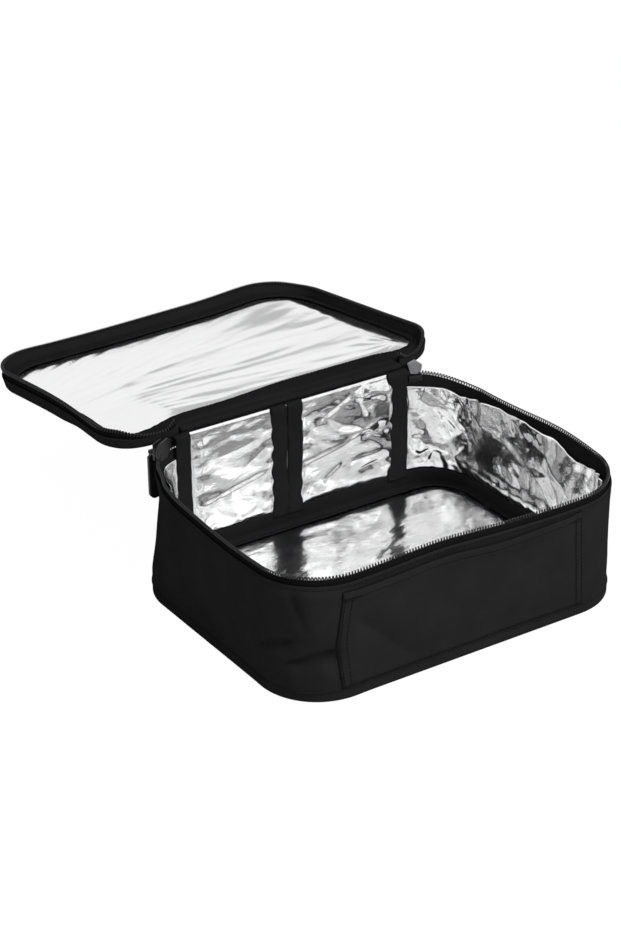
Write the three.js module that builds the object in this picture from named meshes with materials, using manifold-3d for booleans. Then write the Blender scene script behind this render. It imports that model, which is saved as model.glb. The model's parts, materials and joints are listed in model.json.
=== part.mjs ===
// An insulated lunch bag, lying open: a soft box with a lid that hinges along its back.
// Millimetres. X runs along the hinge, -Y is the front with the pocket, +Z is up,
// and the origin is on the ground under the middle of the body.
import * as THREE from "three";
import { mergeVertices } from "three/addons/utils/BufferGeometryUtils.js";
import Module from "manifold-3d";

const wasm = await Module();
wasm.setup();

// Outer plan, and heights above the ground with the lid shut
const bagLength = 260;
const bagWidth = 205;
const cornerRadius = 42;
const zipLevel = 88.15;
const hingeAboveZip = 11.85;
const lidRise = 3;
const lidOpenAngle = 187;

// Layers of the walls, from the outside in, and the gap between layers that touch
const shellThickness = 1.2;
const foamThickness = 3;
const bottomFoamThickness = 4;
const lidFoamThickness = 2.2;
const liningThickness = 0.8;
const trimThickness = 0.8;
const gap = 0.3;

// Zip along the rim: a coil on the edge of each tape
const coilWidth = 2.4;
const coilHeight = 1.9;
const coilInset = 1;
const coilSpacing = 1.5;
const tapeInset = 1.5;
const tapeShowing = 3.7;
const tapeTuck = 2.7;
const facingInset = 2.6;
const facingThickness = 0.6;

// Black bindings on the foil, and the pocket and seam outside
const bindingWidth = 12;
const leftBindingReach = 9.3;
const rightBindingReach = 3.3;
const rightBindingWidth = 16.5;
const middleBindingCentre = -8.7;
const floorBandHeight = 10.5;
const floorBandSide = 14;
const floorBandBack = 27.5;
const lidBandSide = 13;
const lidBandFront = 18;
const lidBandBack = 21;
const pocketLeft = 104.5;
const pocketRight = 87;
const pocketTop = 76;
const seamHeight = 7.8;
const seamWidth = 2;
const seamStandOut = 1;
const beadRadius = 1.6;

// Zip sliders, where each is parked round its back corner, and their pull tabs
const sliderLength = 10;
const sliderHeight = 8.6;
const sliderPlate = 1;
const sliderInnerPlate = 0.8;
const sliderInnerClearance = 0.6;
const sliderWeb = 0.8;
const crownRise = 3.5;
const barRadius = 0.8;
const barStandOff = 2.3;
const postWidth = 1.2;
const leftParkAngle = 28;
const rightParkAngle = 15;
const pullLength = 34;
const pullWidth = 9;
const pullThickness = 2;
const knuckleWall = 0.8;

// Webbing handle on the lid's outer face
const handleWidth = 25;
const handleThickness = 2;
const handleSpan = 104;
const handleTab = 24;
const handleRise = 20;

// Facets
const cornerSteps = 10;
const roundSides = 16;
const handleSteps = 18;

// Worked out from the sizes above
const hingeHeight = zipLevel + hingeAboveZip;
const halfLength = bagLength / 2;
const halfWidth = bagWidth / 2;
const straightX = halfLength - cornerRadius;
const straightY = halfWidth - cornerRadius;
const cornerArc = (cornerRadius * Math.PI) / 2;
const perimeter = 4 * (straightX + straightY + cornerArc);
const seamStation = straightX + gap;
const foamInset = shellThickness + gap;
const liningInset = foamInset + foamThickness + gap;
const trimInset = liningInset + liningThickness + gap;
const bottomFoamLow = shellThickness + gap;
const bottomFoamHigh = bottomFoamLow + bottomFoamThickness;
const floorLiningLow = bottomFoamHigh + gap;
const floorLiningHigh = floorLiningLow + liningThickness;
const floorTrimLow = floorLiningHigh + gap;
const floorTrimHigh = floorTrimLow + trimThickness;
const bodyCoilHigh = zipLevel - coilSpacing / 2;
const bodyTapeHigh = bodyCoilHigh - coilHeight - gap;
const shellHigh = bodyTapeHigh - tapeShowing;
const bodyTapeLow = shellHigh - tapeTuck;
const foamHigh = bodyTapeLow - gap;
const lidTop = hingeHeight + lidRise;
const lidPanelLow = lidTop - shellThickness;
const lidFoamLow = lidPanelLow - gap - lidFoamThickness;
const lidLiningLow = lidFoamLow - gap - liningThickness;
const lidCoilLow = zipLevel + coilSpacing / 2;
const lidTapeLow = lidCoilLow + coilHeight + gap;
const lidShellLow = lidTapeLow + tapeShowing;
const lidTrimHigh = lidLiningLow - gap;
const backHigh = hingeHeight - beadRadius - gap;
const backInnerHigh = lidLiningLow - gap;
const hingeClearance = beadRadius + gap + 0.5;
const barY = cornerRadius + gap + sliderPlate + barStandOff;

const black = { color: 0x17171a, roughness: 0.85, metalness: 0 };
const fabric = new THREE.MeshStandardMaterial(black);
const trim = new THREE.MeshStandardMaterial({ color: 0x131315, roughness: 0.8, metalness: 0 });
const foam = new THREE.MeshStandardMaterial({ color: 0xe8e8e4, roughness: 0.95, metalness: 0 });
const foil = new THREE.MeshStandardMaterial({ color: 0xe2e3e5, roughness: 0.15, metalness: 1 });
const coilNylon = new THREE.MeshStandardMaterial({ color: 0x1c1c1e, roughness: 0.45, metalness: 0 });
const sliderMetal = new THREE.MeshStandardMaterial({ color: 0x8c8c8c, roughness: 0.5, metalness: 0.6 });
const pullRubber = new THREE.MeshStandardMaterial({ color: 0x222224, roughness: 0.6, metalness: 0 });

// The outer face as a walk from the middle of the back, round by the left, front and right
const legs = [
  { length: straightX, turns: false },
  { length: cornerArc, turns: true },
  { length: 2 * straightY, turns: false },
  { length: cornerArc, turns: true },
  { length: 2 * straightX, turns: false },
  { length: cornerArc, turns: true },
  { length: 2 * straightY, turns: false },
  { length: cornerArc, turns: true },
  { length: straightX, turns: false },
];

function inward(heading) {
  return new THREE.Vector2(-Math.sin(heading), Math.cos(heading));
}

// The point at a distance walked along the outer face, moved inwards by an inset
function outlineAt(station, inset) {
  let rest = ((station % perimeter) + perimeter) % perimeter;
  let heading = Math.PI;
  const point = new THREE.Vector2(0, halfWidth);
  for (const leg of legs) {
    const walked = Math.min(rest, leg.length);
    if (leg.turns) {
      point.addScaledVector(inward(heading), cornerRadius);
      heading += walked / cornerRadius;
      point.addScaledVector(inward(heading), -cornerRadius);
    } else {
      point.x += Math.cos(heading) * walked;
      point.y += Math.sin(heading) * walked;
    }
    rest -= walked;
    if (rest <= 0) break;
  }
  return point.addScaledVector(inward(heading), inset);
}

// Stations from one to another, with every leg's end and the steps round each corner
function stationsBetween(from, to) {
  const stations = [from];
  const laps = [-perimeter, 0, perimeter];
  for (const lap of laps) {
    let start = lap;
    for (const leg of legs) {
      const steps = leg.turns ? cornerSteps : 1;
      for (let i = 1; i <= steps; i++) {
        const station = start + (leg.length * i) / steps;
        if (station > from + gap && station < to - gap) stations.push(station);
      }
      start += leg.length;
    }
  }
  stations.push(to);
  return stations;
}

function extrudeUp(shape, low, high) {
  const geometry = new THREE.ExtrudeGeometry(shape, { depth: high - low, bevelEnabled: false });
  return geometry.translate(0, 0, low);
}

// A wall that follows the outline between two stations, from an outer to an inner inset
function strip(from, to, outer, inner, low, high) {
  const stations = stationsBetween(from, to);
  const outside = stations.map((station) => outlineAt(station, outer));
  const inside = stations.map((station) => outlineAt(station, inner)).reverse();
  return extrudeUp(new THREE.Shape([...outside, ...inside]), low, high);
}

// A wall on three sides, which leaves the middle of the back to the hinge side's own pieces
function threeSides(outer, inner, low, high) {
  return strip(seamStation, perimeter - seamStation, outer, inner, low, high);
}

// The plan with its own inset at the sides, the front and the back
function planPath(path, side, front, back) {
  const x = halfLength - side;
  const top = halfWidth - back;
  const bottom = -halfWidth + front;
  const backRadius = cornerRadius - Math.max(side, back);
  const frontRadius = cornerRadius - Math.max(side, front);
  path.moveTo(-x + backRadius, top);
  path.absarc(-x + backRadius, top - backRadius, backRadius, Math.PI / 2, Math.PI, false);
  path.absarc(-x + frontRadius, bottom + frontRadius, frontRadius, Math.PI, 1.5 * Math.PI, false);
  path.absarc(x - frontRadius, bottom + frontRadius, frontRadius, 1.5 * Math.PI, 2 * Math.PI, false);
  path.absarc(x - backRadius, top - backRadius, backRadius, 0, Math.PI / 2, false);
  return path;
}

function plate(low, high, side, front = side, back = side) {
  const shape = planPath(new THREE.Shape(), side, front, back);
  return extrudePlan(shape, low, high);
}

function extrudePlan(shape, low, high) {
  const options = { depth: high - low, bevelEnabled: false, curveSegments: cornerSteps };
  return new THREE.ExtrudeGeometry(shape, options).translate(0, 0, low);
}

// A flat frame between two plans
function frame(low, high, outer, inner) {
  const shape = planPath(new THREE.Shape(), outer.side, outer.front, outer.back);
  shape.holes.push(planPath(new THREE.Path(), inner.side, inner.front, inner.back));
  return extrudePlan(shape, low, high);
}

function even(inset) {
  return { side: inset, front: inset, back: inset };
}

function toSolid(geometry) {
  const bare = geometry.clone();
  bare.deleteAttribute("normal");
  bare.deleteAttribute("uv");
  const merged = mergeVertices(bare, 1e-4);
  const vertProperties = new Float32Array(merged.attributes.position.array);
  const triVerts = new Uint32Array(merged.index.array);
  return new wasm.Manifold(new wasm.Mesh({ numProp: 3, vertProperties, triVerts }));
}

function joined(...geometries) {
  const solid = geometries.map(toSolid).reduce((sum, next) => sum.add(next));
  const mesh = solid.getMesh();
  const geometry = new THREE.BufferGeometry();
  geometry.setAttribute("position", new THREE.BufferAttribute(new Float32Array(mesh.vertProperties), 3));
  geometry.setIndex(new THREE.BufferAttribute(new Uint32Array(mesh.triVerts), 1));
  return geometry;
}

function box(x0, x1, y0, y1, z0, z1) {
  const geometry = new THREE.BoxGeometry(x1 - x0, y1 - y0, z1 - z0);
  return geometry.translate((x0 + x1) / 2, (y0 + y1) / 2, (z0 + z1) / 2);
}

function add(parent, name, geometry, material) {
  const mesh = new THREE.Mesh(geometry, material);
  mesh.name = name;
  parent.add(mesh);
  return mesh;
}

// Outer fabric of the body: the bottom, the wall on three sides, the back and the sewn-on parts
function addBodyShell(bag) {
  add(bag, "bottom_panel", plate(0, shellThickness, 0), fabric);
  add(bag, "wall_outer", threeSides(0, shellThickness, bottomFoamLow, shellHigh), fabric);
  const back = strip(-straightX, straightX, 0, shellThickness, bottomFoamLow, backHigh);
  add(bag, "back_panel", back, fabric);
  const seam = frame(seamHeight, seamHeight + seamWidth, even(-gap - seamStandOut), even(-gap));
  add(bag, "bottom_seam", seam, trim);
  const middle = perimeter / 2;
  const pocketLow = seamHeight + seamWidth + gap;
  const pocketOut = -gap - shellThickness;
  const pocket = strip(middle - pocketLeft, middle + pocketRight, pocketOut, -gap, pocketLow, pocketTop);
  add(bag, "front_pocket", pocket, fabric);
}

function addBodyFoam(bag) {
  add(bag, "bottom_foam", plate(bottomFoamLow, bottomFoamHigh, foamInset), foam);
  const inner = foamInset + foamThickness;
  add(bag, "wall_foam", threeSides(foamInset, inner, floorLiningLow, foamHigh), foam);
  const back = strip(-straightX, straightX, foamInset, inner, floorLiningLow, backInnerHigh);
  add(bag, "back_foam", back, foam);
}

function addBodyLining(bag) {
  const inner = liningInset + liningThickness;
  add(bag, "floor_lining", plate(floorLiningLow, floorLiningHigh, liningInset), foil);
  add(bag, "wall_lining", threeSides(liningInset, inner, floorTrimLow, foamHigh), foil);
  const split = -middleBindingCentre;
  const left = strip(split + gap / 2, straightX, liningInset, inner, floorTrimLow, backInnerHigh);
  add(bag, "back_lining_left", left, foil);
  const right = strip(-straightX, split - gap / 2, liningInset, inner, floorTrimLow, backInnerHigh);
  add(bag, "back_lining_right", right, foil);
}

// Bindings that cover the foil's seams: round the floor, and up the back wall
function addBodyBindings(bag) {
  const inner = trimInset + trimThickness;
  const hole = { side: floorBandSide, front: floorBandSide, back: floorBandBack };
  const flat = frame(floorTrimLow, floorTrimHigh, even(trimInset), hole);
  const bandHigh = floorTrimHigh + floorBandHeight;
  const wallBand = frame(floorTrimLow, bandHigh, even(trimInset), even(inner));
  add(bag, "floor_binding", joined(flat, wallBand), trim);
  const low = bandHigh + gap;
  const split = -middleBindingCentre;
  const leftStart = straightX + leftBindingReach - bindingWidth - gap;
  const rightStart = -(straightX + rightBindingReach - gap);
  const upright = (from, to, high) => strip(from, to, trimInset, inner, low, high);
  // Past the seam the side bindings stop at the rim, because the lid's zip passes over them there
  const leftEnd = leftStart + bindingWidth;
  const leftParts = [upright(leftStart, leftEnd, foamHigh), upright(leftStart, straightX, backInnerHigh)];
  add(bag, "binding_left", joined(...leftParts), trim);
  const rightEnd = rightStart + rightBindingWidth;
  const rightParts = [upright(rightStart, rightEnd, foamHigh), upright(-straightX, rightEnd, backInnerHigh)];
  add(bag, "binding_right", joined(...rightParts), trim);
  const edge = split + gap / 2;
  add(bag, "binding_middle_left", upright(edge, edge + bindingWidth, backInnerHigh), trim);
  add(bag, "binding_middle_right", upright(edge - gap - bindingWidth, edge - gap, backInnerHigh), trim);
}

// One half of the zip, as a tape, its coil and the facing inside
function addZipHalf(parent, name, tapeRange, coilLow, facingRange) {
  const tape = threeSides(tapeInset, tapeInset + trimThickness, ...tapeRange);
  add(parent, `${name}_zip_tape`, tape, trim);
  const coil = threeSides(coilInset, coilInset + coilWidth, coilLow, coilLow + coilHeight);
  add(parent, `${name}_zip_coil`, coil, coilNylon);
  const facing = threeSides(facingInset, facingInset + facingThickness, ...facingRange);
  add(parent, `${name}_rim_facing`, facing, trim);
}

function addHingeBinding(bag) {
  const bead = new THREE.CylinderGeometry(beadRadius, beadRadius, 2 * straightX, roundSides);
  bead.rotateZ(Math.PI / 2);
  const mesh = add(bag, "hinge_binding", bead, trim);
  mesh.position.set(0, halfWidth, hingeHeight);
}

// The lid's pieces, drawn where they lie when the bag is shut
function addLid(bag) {
  const turned = new THREE.Group();
  turned.position.set(0, halfWidth, hingeHeight);
  turned.rotation.x = -THREE.MathUtils.degToRad(lidOpenAngle);
  bag.add(turned);
  const lid = new THREE.Group();
  lid.position.set(0, -halfWidth, -hingeHeight);
  turned.add(lid);
  add(lid, "lid_panel", plate(lidPanelLow, lidTop, 0, 0, hingeClearance), fabric);
  add(lid, "lid_wall", threeSides(0, shellThickness, lidShellLow, lidPanelLow - gap), fabric);
  const foamLow = lidFoamLow;
  const foamPlan = plate(foamLow, foamLow + lidFoamThickness, foamInset, foamInset, hingeClearance);
  add(lid, "lid_foam", foamPlan, foam);
  const liningHigh = lidLiningLow + liningThickness;
  const lining = plate(lidLiningLow, liningHigh, foamInset, foamInset, hingeClearance);
  add(lid, "lid_lining", lining, foil);
  const inner = { side: lidBandSide, front: lidBandFront, back: lidBandBack };
  const bandBack = trimInset + trimThickness + gap;
  const outer = { side: trimInset, front: trimInset, back: bandBack };
  const band = frame(lidTrimHigh - trimThickness, lidTrimHigh, outer, inner);
  add(lid, "lid_binding", band, trim);
  addZipHalf(lid, "lid", [lidTapeLow, lidTrimHigh], lidCoilLow, [lidTapeLow + gap, lidTrimHigh]);
  add(lid, "carry_handle", handle(), trim);
}

// A webbing strap sewn flat at both ends and bowed between them
function handle() {
  const rise = (x) => {
    const share = Math.min(Math.abs(x) / (handleSpan / 2), 1);
    return (handleRise * (1 + Math.cos(Math.PI * share))) / 2;
  };
  const end = handleSpan / 2 + handleTab;
  const xs = [-end];
  for (let i = 0; i <= handleSteps; i++) {
    xs.push((i / handleSteps - 0.5) * handleSpan);
  }
  xs.push(end);
  const low = xs.map((x) => new THREE.Vector2(x, rise(x)));
  const high = xs.map((x) => new THREE.Vector2(x, rise(x) + handleThickness)).reverse();
  const options = { depth: handleWidth, bevelEnabled: false };
  const strap = new THREE.ExtrudeGeometry(new THREE.Shape([...low, ...high]), options);
  strap.translate(0, 0, -handleWidth / 2);
  strap.rotateX(Math.PI / 2);
  return strap.translate(0, 0, lidTop + gap);
}

// A shape drawn in Y and Z, drawn out along X and centred on it
function alongX(shape, length) {
  const options = { depth: length, bevelEnabled: false, curveSegments: roundSides / 4 };
  const geometry = new THREE.ExtrudeGeometry(shape, options);
  geometry.translate(0, 0, -length / 2);
  const basis = new THREE.Matrix4().makeBasis(
    new THREE.Vector3(0, 1, 0),
    new THREE.Vector3(0, 0, 1),
    new THREE.Vector3(1, 0, 0),
  );
  return geometry.applyMatrix4(basis);
}

// A slider in its corner's frame: X along the zip, Y outwards, Z up from the zip's middle.
// Two plates hold the body's coil, a web parts it from the lid's, and a bar on two posts holds
// the pull tab. The inner plate stops at the web, so the lid's coil can swing in from inside.
function sliderGeometry() {
  const half = sliderHeight / 2;
  const faceIn = cornerRadius - coilInset + gap;
  const face = cornerRadius + gap;
  const faceOut = face + sliderPlate;
  const innerOut = cornerRadius - coilInset - coilWidth - sliderInnerClearance;
  const innerIn = innerOut - sliderInnerPlate;
  const profile = new THREE.Shape([
    new THREE.Vector2(innerIn, -half),
    new THREE.Vector2(innerOut, -half),
    new THREE.Vector2(innerOut, -sliderWeb / 2),
    new THREE.Vector2(faceIn, -sliderWeb / 2),
    new THREE.Vector2(faceIn, -half),
    new THREE.Vector2(faceOut, -half),
    new THREE.Vector2(faceOut, half + crownRise),
    new THREE.Vector2(face, half + crownRise),
    new THREE.Vector2(face, half),
    new THREE.Vector2(faceIn, half),
    new THREE.Vector2(faceIn, sliderWeb / 2),
    new THREE.Vector2(innerIn, sliderWeb / 2),
  ]);
  const plates = alongX(profile, sliderLength);
  const postOuter = sliderLength / 2 - barRadius / 2;
  const postInner = postOuter - postWidth;
  const sink = sliderPlate / 2;
  const postEnd = barY + barRadius;
  const posts = [
    box(-postOuter, -postInner, faceOut - sink, postEnd, -barRadius, barRadius),
    box(postInner, postOuter, faceOut - sink, postEnd, -barRadius, barRadius),
  ];
  const bar = new THREE.CylinderGeometry(barRadius, barRadius, 2 * postInner + postWidth, roundSides);
  bar.rotateZ(Math.PI / 2);
  bar.translate(0, barY, 0);
  return joined(plates, ...posts, bar);
}

// A pull tab in the same frame: a knuckle round the slider's bar, and a round-ended tab
function pullGeometry() {
  const bore = barRadius + gap;
  const outer = bore + knuckleWall;
  const ring = new THREE.Shape();
  ring.absarc(barY, 0, outer, 0, 2 * Math.PI, false);
  const hole = new THREE.Path();
  hole.absarc(barY, 0, bore, 0, 2 * Math.PI, true);
  ring.holes.push(hole);
  const postInner = sliderLength / 2 - barRadius / 2 - postWidth;
  const knuckleHalf = postInner - gap;
  const knuckle = alongX(ring, 2 * knuckleHalf);
  const shoulder = -outer - gap;
  const neckTop = -bore - knuckleWall / 4;
  const half = pullWidth / 2;
  const tip = -pullLength + half;
  const outline = new THREE.Shape();
  outline.moveTo(-knuckleHalf, neckTop);
  outline.lineTo(-knuckleHalf, shoulder);
  outline.lineTo(-half, shoulder - 1);
  outline.lineTo(-half, tip);
  outline.absarc(0, tip, half, Math.PI, 2 * Math.PI, false);
  outline.lineTo(half, shoulder - 1);
  outline.lineTo(knuckleHalf, shoulder);
  outline.lineTo(knuckleHalf, neckTop);
  const options = { depth: pullThickness, bevelEnabled: false, curveSegments: roundSides };
  const tab = new THREE.ExtrudeGeometry(outline, options);
  tab.translate(0, 0, -pullThickness / 2);
  tab.rotateX(Math.PI / 2);
  tab.translate(0, barY, 0);
  return joined(knuckle, tab);
}

// A slider and its pull, turned round the middle of a back corner to where they are parked
function addSlider(bag, side, cornerX, angle) {
  const corner = new THREE.Group();
  corner.position.set(cornerX, straightY, zipLevel);
  corner.rotation.z = THREE.MathUtils.degToRad(angle);
  bag.add(corner);
  add(corner, `slider_${side}`, sliderGeometry(), sliderMetal);
  add(corner, `pull_${side}`, pullGeometry(), pullRubber);
}

const bag = new THREE.Group();
addBodyShell(bag);
addBodyFoam(bag);
addBodyLining(bag);
addBodyBindings(bag);
addZipHalf(
  bag,
  "body",
  [bodyTapeLow, bodyTapeHigh],
  bodyCoilHigh - coilHeight,
  [bodyTapeLow, bodyTapeHigh - gap],
);
addHingeBinding(bag);
addLid(bag);
addSlider(bag, "left", -straightX, leftParkAngle);
addSlider(bag, "right", straightX, -rightParkAngle);

export default bag;
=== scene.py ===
"""An insulated lunch bag lying open, built in cloth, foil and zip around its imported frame.

Lengths are in metres and angles in radians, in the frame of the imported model: X runs along the
hinge, -Y is the front with the pocket, and the ground is Z = 0. A place on the walls is given by
its station, the distance walked along the outer face from the middle of the back round by the
left side, by its inset from the outer face, and by its height.
"""
import json
import math

import bpy
import numpy as np
from bpy.props import FloatProperty, FloatVectorProperty, PointerProperty
from mathutils import Matrix, Vector, geometry, noise


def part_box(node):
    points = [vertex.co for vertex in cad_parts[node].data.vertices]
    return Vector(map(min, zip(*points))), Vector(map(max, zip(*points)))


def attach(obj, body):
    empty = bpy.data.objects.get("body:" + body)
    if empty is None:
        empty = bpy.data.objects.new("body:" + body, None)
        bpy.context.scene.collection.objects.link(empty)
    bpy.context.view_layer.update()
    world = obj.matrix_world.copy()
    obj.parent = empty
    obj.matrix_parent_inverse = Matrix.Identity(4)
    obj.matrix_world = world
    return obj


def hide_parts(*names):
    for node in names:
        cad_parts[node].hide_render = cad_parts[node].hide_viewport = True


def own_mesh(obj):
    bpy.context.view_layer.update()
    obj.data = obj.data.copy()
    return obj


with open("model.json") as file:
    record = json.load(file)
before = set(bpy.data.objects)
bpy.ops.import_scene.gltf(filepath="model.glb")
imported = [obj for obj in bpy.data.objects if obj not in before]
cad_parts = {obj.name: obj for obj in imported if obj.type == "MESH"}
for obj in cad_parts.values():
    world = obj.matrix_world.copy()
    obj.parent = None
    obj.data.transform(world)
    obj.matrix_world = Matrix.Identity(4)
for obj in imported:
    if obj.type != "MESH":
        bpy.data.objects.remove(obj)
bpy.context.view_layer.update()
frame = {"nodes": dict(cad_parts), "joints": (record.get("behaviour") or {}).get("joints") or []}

bl_info = {
    "name": "Lunch Bag Builder",
    "version": (1, 0, 0),
    "blender": (4, 5, 0),
    "location": "3D View > Sidebar > Lunch Bag",
    "description": "Builds an open insulated lunch bag in fabric, crinkled foil and zip",
    "category": "Object",
}

# The plan's driving sizes, read from the frame
HALF_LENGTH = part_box("bottom_panel")[1].x
HALF_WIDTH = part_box("bottom_panel")[1].y
STRAIGHT_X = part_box("hinge_binding")[1].x
CORNER = HALF_LENGTH - STRAIGHT_X
STRAIGHT_Y = HALF_WIDTH - CORNER
QUARTER = CORNER * math.pi / 2
LEG_ENDS = np.cumsum([
    0, STRAIGHT_X, QUARTER, 2 * STRAIGHT_Y, QUARTER, 2 * STRAIGHT_X, QUARTER, 2 * STRAIGHT_Y, QUARTER,
    STRAIGHT_X,
])
PERIMETER = LEG_ENDS[-1]
BACK_LEFT, LEFT_START, LEFT_END = LEG_ENDS[1:4]
FRONT_END, RIGHT_START, RIGHT_END, BACK_RIGHT = LEG_ENDS[5:9]
FRONT_MIDDLE = PERIMETER / 2
SEAM_GAP = 0.0003
HINGE = next(joint for joint in frame["joints"] if joint["name"] == "lid_hinge")
HINGE_Y = HINGE["pos_m"][1]
HINGE_Z = HINGE["pos_m"][2]
LID_TURN = math.radians(HINGE["range_deg"][1])


def low(node):
    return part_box(node)[0]


def high(node):
    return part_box(node)[1]


def inset_of(node):
    return HALF_LENGTH - high(node).x


def closed_heights(node):
    """The lowest and highest Z of a lid's node when the bag is shut."""
    vertices = frame["nodes"][node].data.vertices
    points = np.array([vertex.co for vertex in vertices])
    y = points[:, 1] - HINGE_Y
    z = points[:, 2] - HINGE_Z
    closed = HINGE_Z + math.sin(LID_TURN) * y + math.cos(LID_TURN) * z
    return closed.min(), closed.max()


# Settings


def length(name, description, value, least=0.0):
    return FloatProperty(name=name, description=description, default=value, min=least, subtype="DISTANCE")


def strength(name, description, value, most):
    return FloatProperty(
        name=name, description=description, default=value, min=0, max=most, subtype="FACTOR"
    )


class BagSizes(bpy.types.PropertyGroup):
    """How the cloth, foil and zip depart from the plain frame."""

    rim_sag: length("Rim sag", "How far the open rim drops in the middle of the left side", 0.0038)
    rim_bow: length("Rim bow", "How far the open rim stands out in the middle of the right side", 0.0052)
    corner_draw: length(
        "Corner draw", "How far the upper wall is drawn in round the back left corner", 0.0068
    )
    base_round: length("Base rounding", "How far the wall curls in to the bottom panel", 0.0006)
    fold_depth: strength("Fold depth", "Strength of the folds in the outer fabric", 1.5, 3)
    crinkle: strength("Crinkle", "Strength of the creases in the foil", 1.0, 2)
    cloth_step: length("Cloth step", "Grid spacing of the fabric pieces", 0.002, 0.001)
    foil_step: length("Foil step", "Grid spacing of the foil pieces", 0.0009, 0.0005)
    coil_pitch: length("Coil pitch", "Distance from one turn of the zip's coil to the next", 0.0021, 0.0008)
    coil_wire: length("Coil wire", "Radius of the nylon wire of the coil", 0.00046, 0.0001)
    stitch_pitch: length("Stitch pitch", "Distance from one stitch to the next", 0.0029, 0.001)
    stitch_radius: length("Stitch radius", "Half the thickness of the sewing thread", 0.00030, 0.0001)


def colour(name, description, value):
    return FloatVectorProperty(
        name=name, description=description, default=value, size=4, min=0, max=1, subtype="COLOR"
    )


class BagColours(bpy.types.PropertyGroup):
    """The base colours of the bag's finishes."""

    fabric: colour("Fabric", "Black polyester of the outside", (0.0250, 0.0250, 0.0260, 1))
    tape: colour("Tape", "Binding tape over the seams of the foil", (0.0200, 0.0200, 0.0212, 1))
    zip_tape: colour("Zip tape", "Woven tape that carries the coil", (0.0120, 0.0120, 0.0128, 1))
    coil: colour("Coil", "Nylon of the zip's coil", (0.030, 0.030, 0.031, 1))
    # The thread is darker than the fabric partly as painted shade: its dark stands for the shadow in the
    # stitch grooves.
    thread: colour("Thread", "Sewing thread", (0.008, 0.008, 0.0084, 1))
    # The side foil's base is set lighter than the lid's copy of the same film. This is painted light that
    # makes up for the dimmer light it reflects between the folds inside the bag.
    foil: colour("Foil", "Aluminised film of the lining", (0.95, 0.95, 0.953, 1))
    lid_foil: colour("Lid foil", "The same film, pulled tight under the lid", (0.87, 0.87, 0.875, 1))
    foam: colour("Foam", "Closed-cell foam between the layers", (0.80, 0.80, 0.78, 1))
    # Both sliders are made of one dark satin metal. The dark colour is that metal, on both bodies and on the
    # left plate.
    slider_dark: colour("Dark slider", "Satin metal of the left slider", (0.022, 0.022, 0.023, 1))
    # The lighter grey of the right plate is a painted highlight: the same metal, lightened to stand for the
    # light its face reflects.
    slider_painted_highlight: colour("Light slider", "Satin metal of the right slider", (0.34, 0.34, 0.35, 1))
    rubber: colour("Rubber", "Moulded pull tabs", (0.013, 0.013, 0.014, 1))
    webbing: colour("Webbing", "Carrying strap on the lid", (0.026, 0.026, 0.028, 1))


class StageSettings(bpy.types.PropertyGroup):
    """The light round the bag."""

    key_power: FloatProperty(
        name="Key power", description="Watts of the large lamp above the front right", default=47, min=0,
        subtype="POWER",
    )
    fill_power: FloatProperty(
        name="Fill power", description="Watts of the lamp on the left", default=7, min=0, subtype="POWER",
    )
    ambient: FloatProperty(
        name="Ambient", description="Strength of the sky's even light on the bag", default=0.12, min=0, max=2,
    )


def sizes():
    return bpy.context.scene.bag_sizes


def colours():
    return bpy.context.scene.bag_colours


# Places on the walls


def outline(station):
    """The middle of the corner arc that serves each station, and the outward direction there."""
    walked = np.mod(np.asarray(station, float), PERIMETER)
    x, y = STRAIGHT_X, STRAIGHT_Y
    centre_x = np.interp(walked, LEG_ENDS, [0, -x, -x, -x, -x, x, x, x, x, 0])
    centre_y = np.interp(walked, LEG_ENDS, [y, y, y, -y, -y, -y, -y, y, y, y])
    quarter = math.pi / 2
    heading = np.interp(walked, LEG_ENDS, [quarter * turn for turn in (1, 1, 2, 2, 3, 3, 4, 4, 5, 5)])
    return centre_x, centre_y, np.cos(heading), np.sin(heading)


def place(station, inset, height):
    """Points at stations, insets and heights, as one array with X, Y and Z last."""
    station, inset, height = np.broadcast_arrays(station, inset, height)
    centre_x, centre_y, out_x, out_y = outline(station)
    reach = CORNER - inset
    return np.stack([centre_x + reach * out_x, centre_y + reach * out_y, height], axis=-1)


def ramp(value, start, end):
    """0 before start, 1 after end, with a smooth rise between."""
    share = np.clip((value - start) / (end - start), 0, 1)
    return share * share * (3 - 2 * share)


def bell(value, middle, width):
    return np.exp(-(((value - middle) / width) ** 2))


def settled(station, inset, height):
    """A place on the body once its soft walls have sagged, bowed and drawn in."""
    station, inset, height = np.broadcast_arrays(
        np.asarray(station, float), np.asarray(inset, float), np.asarray(height, float)
    )
    share = np.clip(height / high("body_zip_coil").z, 0, 1)
    drop = sizes().rim_sag * bell(station, LEFT_START + 0.0855, 0.052) - rim_lift(station)
    return place(station, inset + drawn_in(station, height) - bow(station, share), height - drop * share**1.6)


def rim_lift(station):
    """How far the rim stands above its even level: it climbs to the hinge at both ends of the zip."""
    ends = 0.0080 * ramp(station, RIGHT_END + 0.006, BACK_RIGHT - 0.006)
    ends = ends + 0.0046 * (1 - ramp(station, BACK_LEFT + 0.006, BACK_LEFT + 0.044))
    front = 0.0030 * bell(station, FRONT_MIDDLE - 0.025, 0.038)
    front = front - 0.0012 * bell(station, FRONT_MIDDLE + 0.072, 0.030)
    return ends + front + 0.0016 * bell(station, RIGHT_START + 0.046, 0.050)


def drawn_in(station, height):
    """How far the wall is pulled in round the back left corner, less where the slider holds the rim."""
    risen = np.clip((height - 0.017) / 0.05, 0, 1)
    held = bell(station, LEFT_START - 0.0455, 0.017) * ramp(height, 0.070, 0.080)
    return sizes().corner_draw * bell(station, LEFT_START - 0.020, 0.027) * risen * (1 - 0.9 * held)


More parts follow.
